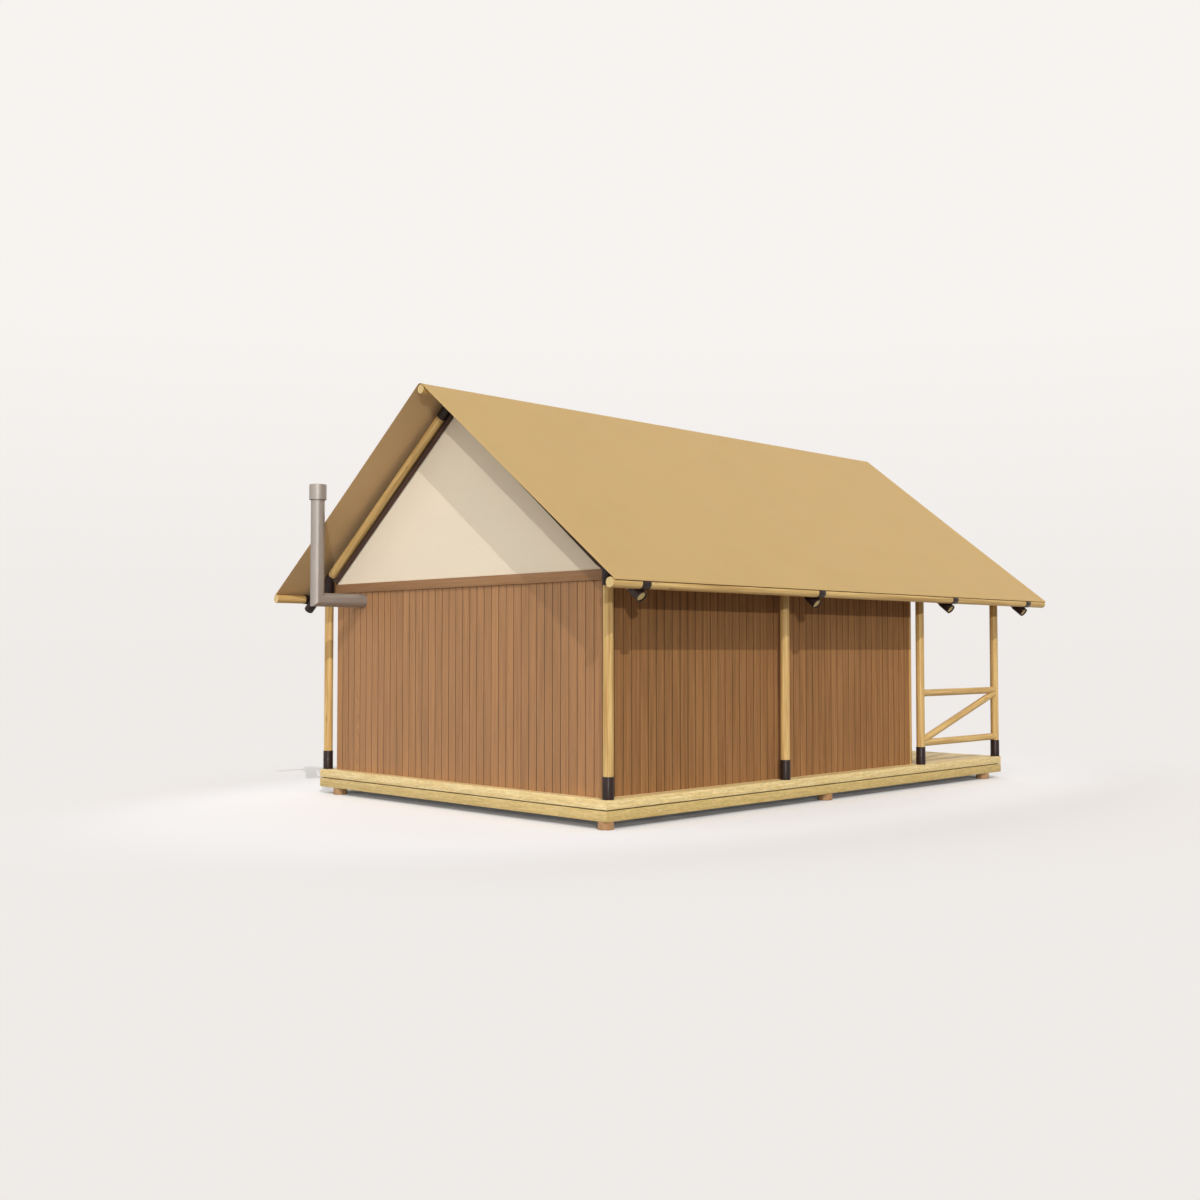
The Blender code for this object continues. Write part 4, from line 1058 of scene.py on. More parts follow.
def fly_point(s, t, lift=0.0):
    """Places on the fly: s over the cloth from the ridge, t from 0 at the rear edge to 1."""
    s = np.asarray(s, float)
    rear, front = fly_ends(s)
    x = rear + (front - rear) * t
    past_ridge = np.abs(s) - RIDGE_ARC
    run = np.clip(past_ridge / FLY_RUN, 0.0, 1.0)
    past_run = np.clip(past_ridge - FLY_RUN, 0.0, None)
    angle = np.clip(np.abs(s) / FLY_RADIUS, 0.0, FLY_SLOPE) + past_run / FLY_RADIUS
    bay = np.sin(math.pi * (x - ROW_X[0]) / (ROW_X[1] - ROW_X[0])) ** 2
    sag = bpy.context.scene.tent_sizes.fly_sag * 4 * run * (1 - run) * (0.75 + 0.25 * bay)
    out = FLY_RADIUS + lift - sag
    y = EAVE_Y * run + out * np.sin(angle)
    z = RIDGE_Z + (EAVE_Z - RIDGE_Z) * run + out * np.cos(angle)
    return np.stack([x, np.sign(s) * y, z], 1)


def fly_steps(low, high, step=0.09):
    """Distances over the cloth, close together on the bends and wider apart on the slopes."""
    bends = [np.linspace(0.0, RIDGE_ARC, 10), np.linspace(FLY_HALF - EAVE_ARC, FLY_HALF, 8)]
    slope = np.linspace(RIDGE_ARC, RIDGE_ARC + FLY_RUN, round(FLY_RUN / step))
    half = np.round(np.concatenate([*bends, slope]), 6)
    every = np.unique(np.concatenate([-half, half]))
    inside = every[(every > low + 1e-4) & (every < high - 1e-4)]
    return np.concatenate([[low], inside, [high]])


def mitred(a, b, c, d, width):
    """Outlines of mitred strips inside a rectangle: the pair along its first axis, then others."""
    e, f, g, h = a + width, b - width, c + width, d - width
    m = MITRE_GAP
    first = [[(a, c), (b, c), (f, g), (e, g)], [(a, d), (e, h), (f, h), (b, d)]]
    second = [
        [(a, c + m), (e, g + m), (e, h - m), (a, d - m)],
        [(b, c + m), (b, d - m), (f, h - m), (f, g + m)],
    ]
    return first, second


def pier_places():
    """Where the pairs of piers stand along X."""
    front = RIM_HIGH.x - PIER_BEFORE_FRONT
    return ROW_X[0], (ROW_X[0] + front) / 2, front


def joist_places():
    """Where the joists lie along X: one over each pair of piers, and others evenly between."""
    rear, half, _ = pier_places()
    spaces = round((half - rear) / JOIST_PITCH)
    return [rear + (half - rear) * i / spaces for i in range(2 * spaces + 1)]


def boarded(name, start, end, face, back, across, low, high, seed, finish="side"):
    """A wall of upright boards; across is true where they follow each other along Y.

    Each board has chamfers to half of each V-joint, and then half a slot.
    """
    count = round((end - start) / BOARD_PITCH)
    pitch = (end - start) / count
    inward = math.copysign(1.0, back - face)
    shoulder, slot = face + inward * V_DEPTH, face + inward * SLOT_DEPTH
    half = [(SLACK, back), (SLACK, slot), (SLOT_HALF, slot), (SLOT_HALF, shoulder), (V_HALF, face)]
    half = [(start + d, u) for d, u in half]
    outline = half + [(2 * start + pitch - d, u) for d, u in reversed(half)]
    flat = [(u, d, low) if across else (d, u, low) for d, u in outline]
    obj = eased(name, [pushed(flat, (0.0, 0.0, high - low))], "board")
    step = (0.0, pitch, 0.0) if across else (pitch, 0.0, 0.0)
    return grow(obj, "row", Count=count, Step=step, Seed=seed, Material=MATERIALS[finish])


def clad(wall, axis, finish, node):
    """Settle a wall of boards; the faces in its slots, which look along the axis, are painted
    darker as shade.
    """
    mark(wall, "joint", lambda face: abs(face.normal[axis]) > JOINT_SHADE_FACING)
    settle(wall, finish, [node], smooth=BOARD_SMOOTH)


def background_rays(tree):
    """1 for rays that the camera sees, also in metal and through glass, and 0 for the rest."""
    path = add(tree, "ShaderNodeLightPath").node.outputs
    seen = path["Is Camera Ray"]
    for kind in ("Is Glossy Ray", "Is Transmission Ray"):
        seen = add(tree, MATH, (seen, path[kind]), operation="MAXIMUM")
    return seen


class OBJECT_OT_tent_poles(bpy.types.Operator):
    """Posts, rafters and beams of debarked round wood"""

    bl_idname = "object.tent_poles"
    bl_label = "Poles"

    def execute(self, context):
        poles = []
        for side, sign in SIDES.items():
            for row, x in zip(ROWS, ROW_X):
                post = [(x, sign * POST_Y, z) for z in (POST_FOOT, POST_HEAD)]
                spots = map(on_rafter, (RAFTER_FROM_RIDGE, RAFTER_TAIL))
                rafter = [(x, -sign * spot.y, spot.z) for spot in spots]
                seed = 10 * row + sign
                poles.append((f"post_{side}_{row}", post, POST_RADIUS - GAP, seed))
                poles.append((f"rafter_{side}_{row}", rafter, RAFTER_RADIUS - GAP, 100 + seed))
        for number, (node, y, z) in enumerate((
            ("ridge_beam", 0.0, RIDGE_Z),
            ("eave_beam_right", -EAVE_Y, EAVE_Z),
            ("eave_beam_left", EAVE_Y, EAVE_Z),
        )):
            ends = ((BEAM_REAR, y, z), (BEAM_FRONT, y, z))
            poles.append((node, ends, BEAM_RADIUS, 300 + number))
        for node, ends, radius, seed in poles:
            settle(pole(f"pole_{node}", ends, radius, seed), "pole", [node])
        return {"FINISHED"}


class OBJECT_OT_tent_railings(bpy.types.Operator):
    """Porch rails coped to the posts, and braces coped to posts and rails"""

    bl_idname = "object.tent_railings"
    bl_label = "Porch railings"

    def execute(self, context):
        start, end = ROW_X[2:]
        low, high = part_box("porch_railing_right")
        flat = RAIL_RADIUS * math.cos(math.pi / CAD_POLE_SIDES)
        foot, top = low.z + flat, high.z - flat
        for side, sign in SIDES.items():
            y = sign * POST_Y
            heights = (foot - RAIL_PAST, top + RAIL_PAST)
            posts = [(*((x, y, z) for z in heights), POST_RADIUS + GAP) for x in (start, end)]
            rails = [((start, y, z), (end, y, z), RAIL_RADIUS + GAP) for z in (foot, top)]
            brace = ((start, y, foot + BRACE_FOOT_RISE), (end, y, top - BRACE_HEAD_DROP))
            for number, (name, ends, cutters) in enumerate((
                ("foot_rail", rails[0][:2], posts),
                ("top_rail", rails[1][:2], posts),
                ("brace", brace, posts + rails),
            )):
                rail = pole(f"{name}_{side}", ends, RAIL_RADIUS, 400 + 10 * number + sign)
                for cutter in cutters:
                    combine(rail, bar(*cutter, 0.0))
                settle(keep_largest(rail), "pole", [f"porch_railing_{side}"])
        return {"FINISHED"}


class OBJECT_OT_tent_fittings(bpy.types.Operator):
    """Steel shoes, knee brackets, ridge brackets and tail clamps"""

    bl_idname = "object.tent_fittings"
    bl_label = "Steel fittings"

    def execute(self, context):
        for name, (solids, holes), turns, nodes in (
            ("post_shoes", self.shoe(), (Matrix.Identity(4), HALF_TURN), names("post_shoe")),
            ("knee_brackets", self.knee(), (Matrix.Identity(4), HALF_TURN), names("knee_bracket")),
            ("ridge_brackets", self.ridge(), (Matrix.Identity(4),), names("ridge_bracket", ("",))),
            ("tail_clamps", self.clamp(), (Matrix.Identity(4), HALF_TURN), []),
        ):
            whole = copies(fitted(name, solids, holes), row_matrices(turns))
            settle(whole, "steel", nodes)
        return {"FINISHED"}

    def on_rafter(self, start, end, radius=SLEEVE_RADIUS, rim=RIM):
        """A bar along the right-hand rafter."""
        return bar(on_rafter(start), on_rafter(end), radius, rim)

    def on_beam(self, y, z):
        """The ring round a beam, and the hole through it."""
        beam, half = Vector((0.0, y, z)), RING_LENGTH / 2 * ALONG
        hole = bar(beam - 2 * half, beam + 2 * half, BEAM_RADIUS + GAP, 0.0)
        return bar(beam - half, beam + half, RING_RADIUS), hole

    def shoe(self):
        rise, inner = SHOE_HEAD - SHOE_FOOT, POST_RADIUS + GAP
        outer = inner + TUBE_WALL
        profile = [
            (0.0, 0.0), (0.0, outer - RIM), (RIM, outer), (rise - RIM, outer),
            (rise - RIM / 3, outer - RIM / 3), (rise, outer - RIM), (rise, inner + RIM),
            (rise - RIM, inner), (SHOE_BASE, inner), (SHOE_BASE, 0.0),
        ]
        return [turned(profile, (0, -POST_Y, SHOE_FOOT), UP)], []

    def knee(self):
        post = Vector((0.0, -POST_Y, 0.0))
        up, down = KNEE_ON_RAFTER - KNEE_UP, KNEE_ON_RAFTER + KNEE_DOWN
        foot, head = post + (POST_HEAD - KNEE_SOCKET) * UP, post + on_rafter(KNEE_ON_RAFTER).z * UP
        socket = bar(foot, head, POST_RADIUS + GAP + KNEE_WALL)
        return [self.on_rafter(up, down), socket], [
            self.on_rafter(up - KNEE_UP, down + KNEE_UP, RAFTER_RADIUS + GAP, 0.0),
            bar(foot - KNEE_UP * UP, post + (POST_HEAD + GAP) * UP, POST_RADIUS + GAP, 0.0),
        ]

    def ridge(self):
        ring, hole = self.on_beam(0.0, RIDGE_Z)
        start, end = RAFTER_FROM_RIDGE - GAP, 2 * RIDGE_SLEEVE
        solids, holes = [ring], []
        for turn in (Matrix.Identity(4), HALF_TURN):
            solids.append(moved(self.on_rafter(0.0, RIDGE_SLEEVE), turn))
            holes.append(moved(self.on_rafter(start, end, RAFTER_RADIUS + GAP, 0.0), turn))
        return solids, [*holes, hole]

    def clamp(self):
        ring, hole = self.on_beam(-EAVE_Y, EAVE_Z)
        start, end = EAVE_FOOT - CLAMP_UP, RAFTER_TAIL + CLAMP_RECESS
        rafter = self.on_rafter(start - CLAMP_UP, end + CLAMP_UP, RAFTER_RADIUS + GAP, 0.0)
        return [self.on_rafter(start, end), ring], [rafter, hole]


class OBJECT_OT_tent_bolts(bpy.types.Operator):
    """Bolts through the shoes, brackets and clamps"""

    bl_idname = "object.tent_bolts"
    bl_label = "Bolts"

    def execute(self, context):
        post = Vector((0.0, -POST_Y, 0.0))
        shoe = post + (SHOE_FOOT + SHOE_HEAD) / 2 * UP
        knee = post + (POST_HEAD - KNEE_POST_BOLT * KNEE_SOCKET) * UP
        places = (
            (shoe, POST_RADIUS + GAP + TUBE_WALL),
            (knee, POST_RADIUS + GAP + KNEE_WALL),
            (on_rafter(KNEE_ON_RAFTER + KNEE_RAFTER_BOLT * KNEE_DOWN), SLEEVE_RADIUS),
            (on_rafter(EAVE_FOOT - CLAMP_BOLT * CLAMP_UP), SLEEVE_RADIUS),
            (on_rafter(RIDGE_BOLT * RIDGE_SLEEVE), SLEEVE_RADIUS),
        )
        spots = [
            (matrix @ (place + radius * facing), matrix.to_3x3() @ facing)
            for matrix in row_matrices()
            for facing in (-ALONG, ALONG)
            for place, radius in places
        ]
        fasteners("frame_bolts", spots, BOLT_HEAD, BOLT, "steel")
        return {"FINISHED"}


class OBJECT_OT_tent_walls(bpy.types.Operator):
    """Boarded walls, their corner trims and the header boards"""

    bl_idname = "object.tent_walls"
    bl_label = "Walls"

    def execute(self, context):
        low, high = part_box("wall_rear")
        rear = boarded("rear_boards", low.y, high.y, low.x, high.x, True, low.z, high.z, 1, "rear")
        y = middle("flue_pipe").y
        ends = ((x, y, FLUE_AXIS_Z) for x in (low.x - PAST, high.x + PAST))
        clad(combine(rear, bar(*ends, FLUE_RADIUS + GAP, 0.0)), 1, "rear", "wall_rear")
        for side, sign in SIDES.items():
            low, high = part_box(f"wall_{side}")
            ends = (low.x, high.x, *((low.y, high.y) if sign < 0 else (high.y, low.y)))
            wall = boarded(f"{side}_boards", *ends, False, low.z, high.z, 2 + sign)
            clad(wall, 0, "side", f"wall_{side}")
        self.front_wall()
        self.headers()
        return {"FINISHED"}

    def front_wall(self):
        low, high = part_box("wall_front")
        ends = (low.y + TRIM, high.y - TRIM)
        wall = boarded("front_boards", *ends, DOOR_FACE, low.x, True, low.z, high.z, 9)
        side, top = DOORWAY_HALF_WIDTH + JAMB, DOORWAY_TOP + JAMB
        doorway = box((low.x - PAST, -side, low.z - PAST), (DOOR_FACE + PAST, side, top))
        clad(combine(wall, doorway), 1, "side", "wall_front")
        uprights = []
        for sign in SIDES.values():
            for near, far, head in (
                (high.y, high.y - TRIM + GAP, high.z),
                (DOORWAY_HALF_WIDTH, side - GAP, top - GAP),
            ):
                edges = sorted((sign * near, sign * far))
                uprights.append(box((low.x, edges[0], low.z), (DOOR_FACE, edges[1], head)))
        timber("front_wall_posts", uprights, "trim", "door")
        half = DOORWAY_HALF_WIDTH - GAP
        lintel = box((low.x, -half, DOORWAY_TOP), (DOOR_FACE, half, top - GAP))
        timber("door_lintel", [lintel], "trim", "door_y")

    def headers(self):
        spots = []
        inset, edge = HEADER_SCREW_INSET
        for name, out in (("header_rear", -1), ("header_front", 1)):
            low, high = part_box(name)
            timber(f"{name}_board", [box(low, high)], "timber", "header", [name])
            face = low.x if out < 0 else high.x
            for y in np.linspace(low.y + inset, high.y - inset, HEADER_SCREWS):
                for z in (low.z + edge, high.z - edge):
                    spots.append((Vector((face, y, z)), out * ALONG))
        radius = bpy.context.scene.tent_sizes.screw
        fasteners("header_screws", spots, SCREW_HEAD, radius, "screw")


class OBJECT_OT_tent_deck(bpy.types.Operator):
    """Floor boards between sills, the rim under them, joists and piers"""

    bl_idname = "object.tent_deck"
    bl_label = "Deck"

    def execute(self, context):
        self.timbers("sill", DECK_LOW, DECK_HIGH, FLOOR_PITCH, "deck_floor", -1)
        rim_low, rim_high = RIM_LOW.copy(), RIM_HIGH.copy()
        rim_low.z, rim_high.z = RIM_FOOT, RIM_HIGH.z - RIM_SHADOW_GAP
        self.timbers("rim", rim_low, rim_high, JOIST_WIDTH, "deck_frame", 1)
        self.floor(DECK_LOW, DECK_HIGH)
        self.joists()
        self.piers()
        return {"FINISHED"}

    def timbers(self, part, low, high, width, node, gap_side):
        """Two pairs of mitred timbers, painted darker as shade on the side of the gap between sills
        and rim.
        """
        rise = (0.0, 0.0, high.z - low.z)
        for axis, outlines in zip("xy", mitred(low.x, high.x, low.y, high.y, width)):
            shapes = [pushed([(x, y, low.z) for x, y in outline], rise) for outline in outlines]
            pair = eased(f"deck_{part}_{axis}", shapes, "sill")
            mark(pair, "joint", lambda face: gap_side * face.normal.z > JOINT_SHADE_FACING)
            settle(pair, f"{part}_{axis}", [node])

    def floor(self, low, high):
        start, end = low.x + FLOOR_PITCH + GAP, high.x - FLOOR_PITCH - GAP
        y = low.y + FLOOR_PITCH
        near, far = y + FLOOR_SLOT, y + FLOOR_PITCH - FLOOR_SLOT
        foot, top = high.z - FLOOR_BOARD, high.z
        outline = [(start, *spot) for spot in ((near, foot), (near, top), (far, top), (far, foot))]
        floor = eased("floor_boards", [pushed(outline, (end - start, 0.0, 0.0))], "floor")
        values = {"Count": FLOOR_BOARDS - 2, "Step": (0.0, FLOOR_PITCH, 0.0), "Seed": 5}
        grow(floor, "row", **values, Material=MATERIALS["floor"])
        settle(floor, "floor", ["deck_floor"])
        spots = [
            (Vector((x, low.y + (board + share) * FLOOR_PITCH, high.z - SCREW_SINK)), UP)
            for x in joist_places()
            if start < x < end
            for board in range(1, FLOOR_BOARDS - 1)
            for share in SCREW_SHARES
        ]
        radius = bpy.context.scene.tent_sizes.screw
        fasteners("floor_screws", spots, SCREW_HEAD, radius, "screw")

    def joists(self):
        half, under_boards = JOIST_WIDTH / 2, DECK_HIGH.z - FLOOR_BOARD - GAP
        shapes = []
        for x in joist_places():
            for side, foot, top in (
                (RIM_HIGH.y - JOIST_WIDTH - GAP, RIM_FOOT + JOIST_RISE, RIM_HIGH.z),
                (DECK_HIGH.y - FLOOR_PITCH - GAP, RIM_HIGH.z + GAP, under_boards),
            ):
                shapes.append(box((x - half, -side, foot), (x + half, side, top)))
        timber("deck_joists", shapes, "timber", "sill_y", ["deck_frame"])

    def piers(self):
        shapes = [
            bar((x, y, 0.0), (x, y, RIM_FOOT), PIER_RADIUS, PIER_RIM, PIER_SIDES)
            for y in (RIM_LOW.y + PIER_INSIDE_RIGHT, RIM_HIGH.y - PIER_INSIDE_LEFT)
            for x in pier_places()
        ]
        timber("deck_piers", shapes, "pier", "pier", ["deck_frame"])


class OBJECT_OT_tent_fly(bpy.types.Operator):
    """The fly: one canvas over the ridge, hemmed, with a keder on its lower edges"""

    bl_idname = "object.tent_fly"
    bl_label = "Fly"

    def execute(self, context):
        look = context.scene.tent_sizes
        across = fly_steps(-FLY_HALF, FLY_HALF)
        along = np.linspace(0.0, 1.0, FLY_ROWS)
        cloth = surface("fly_canvas", across, along, fly_point, look.canvas, (1.0, FLY_LONG))
        # The downward faces get the paler back colour: painted light on the underside
        mark(cloth, "back", lambda face: face.normal.z < 0)
        settle(cloth, "fly", ["fly_roof"], smooth=CLOTH_SMOOTH)
        self.hems(look)
        self.threads(look)
        self.keder()
        return {"FINISHED"}

    def hems(self, look):
        """Doubled edges, a canvas thickness above the fly."""

        def point(s, t):
            return fly_point(s, t, look.canvas)

        share, thickness = look.hem / FLY_LONG, HEM_THICKNESS * look.canvas
        strips = []
        for s_ends, t_ends, count in (
            ((-FLY_HALF, FLY_HALF), (0.0, share), 3),
            ((-FLY_HALF, FLY_HALF), (1.0 - share, 1.0), 3),
            ((FLY_HALF - look.hem, FLY_HALF), (share, 1.0 - share), FLY_ROWS),
            ((-FLY_HALF, look.hem - FLY_HALF), (share, 1.0 - share), FLY_ROWS),
        ):
            steps = fly_steps(*s_ends), np.linspace(*t_ends, count)
            strips.append(surface("hem", *steps, point, thickness, (1.0, FLY_LONG)))
        return settle(join("fly_hems", strips), "fly", smooth=CLOTH_SMOOTH)

    def threads(self, look):
        """Two rows of stitches along every hem."""
        lift, far = THREAD_LIFT * look.canvas, FLY_HALF - THREAD_FROM_EDGE
        every = fly_steps(-far, far, THREAD_STEP)
        along = np.linspace(*THREAD_ENDS, THREAD_POINTS)
        lines = []
        for inset in (THREAD_INSET, look.hem - THREAD_INSET):
            for t in (inset / FLY_LONG, 1.0 - inset / FLY_LONG):
                lines.append(fly_point(every, np.full(len(every), t), lift))
            for s in (FLY_HALF - inset, inset - FLY_HALF):
                lines.append(fly_point(np.full(len(along), s), along, lift))
        return stitches("fly_stitches", lines)

    def keder(self):
        """The round cord sewn in along each lower edge, dark as painted shade under the hem."""
        along = np.linspace(*KEDER_ENDS, FLY_ROWS)
        ring = [Vector((0.0, *pair)) for pair in circle(KEDER_RADIUS, KEDER_SIDES, 0.0)]
        shapes = []
        for s in (FLY_HALF, -FLY_HALF):
            line = fly_point(np.full(len(along), s), along, -KEDER_RADIUS)
            shapes.append(skin([[Vector(place) + spot for spot in ring] for place in line]))
        keder = shape_object("fly_keder", together(shapes))
        layer = keder.data.uv_layers.new(name="cloth")
        for loop in keder.data.loops:
            place = keder.data.vertices[loop.vertex_index].co
            layer.data[loop.index].uv = (place.x, place.y + place.z)
        return settle(keder, "keder", smooth=CLOTH_SMOOTH)


class OBJECT_OT_tent_inner_roof(bpy.types.Operator):
    """Inner roof with raked valances and side skirts, dark as painted shade, and the two gable
    canvases
    """

    bl_idname = "object.tent_inner_roof"
    bl_label = "Inner roof and gables"

    def execute(self, context):
        self.roof()
        for name, out in (("rear", -1), ("front", 1)):
            self.gable(name, out)
        return {"FINISHED"}

    def roof(self):
        low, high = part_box("inner_roof")
        half, long_side = high.y, high.x - low.x
        drop = ROOF_BELOW_RAFTER + 0.5 * CANVAS / math.cos(PITCH)
        fall = VALANCE_HEIGHT - 0.5 * CANVAS / math.cos(PITCH)
        over = rafter_z(half) - drop - WALL_TOP
        inside = DOOR_FACE - REAR_FACE - 2 * GAP

        def slopes(u, v):
            hang = ROOF_SAG * np.sin(math.pi * np.abs(u)) * np.sin(math.pi * v) ** 2
            return np.stack([low.x + long_side * v, u * half, rafter_z(u * half) - drop - hang], 1)

        def valance(x, u, v):
            top = rafter_z(u * half) - drop
            foot = np.maximum(top - fall, WALL_TOP + VALANCE_OVER_WALL)
            return np.stack([np.full(len(u), x), u * half, top + (foot - top) * v], 1)

        def skirt(sign, u, v):
            y = np.full(len(u), sign * (half - CANVAS / 2))
            z = rafter_z(half) - drop - v * (over + SKIRT_OVER_WALL)
            return np.stack([REAR_FACE + GAP + u * inside, y, z], 1)

        across = np.linspace(-1, 1, 61)
        finely, coarsely = np.linspace(0, 1, 41), np.linspace(0, 1, 5)
        strips = [surface("slopes", across, finely, slopes, ROOF_CANVAS, (half, long_side))]
        for shape, ends, steps, scale in (
            (valance, (low.x + CANVAS / 2, high.x - CANVAS / 2), across, (half, fall)),
            (skirt, SIDES.values(), finely, (long_side, over)),
        ):
            for end in ends:
                point = partial(shape, end)
                strips.append(surface("strip", steps, coarsely, point, ROOF_CANVAS, scale))
        whole = join("inner_roof_canvas", strips)
        settle(whole, "roof", ["inner_roof"], smooth=50.0)

    def gable(self, name, out):
        low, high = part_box(f"gable_canvas_{name}")
        face = low.x if out < 0 else high.x
        half, tall = high.y, high.z - low.z
        under = ROOF_BELOW_RAFTER + CANVAS / math.cos(PITCH) + GAP

        def point(u, v):
            y = u * half
            z = low.z + (rafter_z(y) - under - low.z) * v
            wave = np.sin(GABLE_WAVES[0] * y + GABLE_WAVES[1] * z)
            ripple = GABLE_RIPPLE * wave * 4 * v * (1 - v) * (1 - u * u)
            return np.stack([face - out * (GABLE_BEHIND + np.abs(ripple)), y, z], 1)

        steps = np.linspace(-1, 1, 73), np.linspace(0, 1, 37)
        thin = bpy.context.scene.tent_sizes.canvas
        cloth = surface(f"gable_cloth_{name}", *steps, point, thin, (half, tall))
        nodes = [f"gable_canvas_{name}"]
        settle(cloth, "gable", nodes, smooth=CLOTH_SMOOTH)
        lines = []
        x = face - out * GABLE_SEAM_DEPTH
        top_end, foot_end = (half - end for end in GABLE_SEAM_ENDS)
        for inset in GABLE_SEAMS:
            y = np.linspace(-top_end, top_end, 41)
            z = rafter_z(y) - under - inset / math.cos(PITCH)
            inside = z > low.z + inset
            lines.append([(x, *spot) for spot in zip(y[inside], z[inside])])
            foot = np.linspace(-foot_end, foot_end, 12)
            lines.append([(x, spot, low.z + inset) for spot in foot])
        stitches(f"gable_stitches_{name}", lines)


class OBJECT_OT_tent_flue(bpy.types.Operator):
    """Stove pipe with a mitred corner, and its deep cap on ribs"""

    bl_idname = "object.tent_flue"
    bl_label = "Stove pipe"

    def execute(self, context):
        low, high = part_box("flue_pipe")
        x, y = low.x + FLUE_RADIUS * FLUE_FLAT, (low.y + high.y) / 2
        self.pipe(x, y, high)
        self.cap(Vector((x, y, 0.0)), high.z + GAP, *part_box("flue_cap"))
        return {"FINISHED"}

    def pipe(self, x, y, high):
        """Both skins, ring by ring from the flat end through the mitre to the upright end."""
        rings = []
        for radius, lip, order in (
            (FLUE_RADIUS, -FLUE_LIP, 1), (FLUE_RADIUS - FLUE_WALL, FLUE_LIP, -1),
        ):
            places = (
                (high.x, None, lip), (high.x - FLUE_LIP, None, 0.0), (None, None, 0.0),
                (None, high.z - FLUE_LIP, 0.0), (None, high.z, lip),
            )
            for along, up, change in places[::order]:
                rings.append([
                    (
                        x + b if along is None else along,
                        y + a,
                        FLUE_AXIS_Z + b if up is None else up,
                    )
                    for a, b in circle(radius + change)
                ])
        pipe = shape_object("stove_pipe", skin(rings, closed=True))
        settle(pipe, "flue", ["flue_pipe"], smooth=30.0)

    def cap(self, axis, rim, low, high):
        outer = (high.y - low.y) / 2 / FLUE_FLAT
        inner, edge, foot, head = outer - CAP_WALL, CAP_EDGE, low.z, high.z
        bend_z, bend_r = head - edge, outer - edge
        arc = [(bend_z + edge * math.sin(a), bend_r + edge * math.cos(a)) for a in CAP_ARC]
        shell = [(foot, outer), (foot, inner), (head - CAP_WALL, inner), (head - CAP_WALL, 0.0)]
        cap = shape_object("flue_cap_shell", turned([(head, 0.0), *arc[::-1], *shell], axis, UP))
        settle(cap, "flue", ["flue_cap"])
        near, far = FLUE_RADIUS + GAP, outer - CAP_WALL / 2
        start, end = foot + CAP_RIB_REACH, head - CAP_WALL / 2
        outline = [
            (near, start), (far, start), (far, end), (near - CAP_RIB_REACH, end),
            (near - CAP_RIB_REACH, rim), (near, rim),
        ]
        ribs = []
        for rib in range(CAP_RIBS):
            shape = pushed([(r, -CAP_RIB / 2, z) for r, z in outline], (0.0, CAP_RIB, 0.0))
            turn = Matrix.Rotation(2 * math.pi * rib / CAP_RIBS, 4, "Z")
            ribs.append(moved(shape, Matrix.Translation(axis) @ turn))
        settle(shape_object("flue_cap_ribs", together(ribs)), "flue")


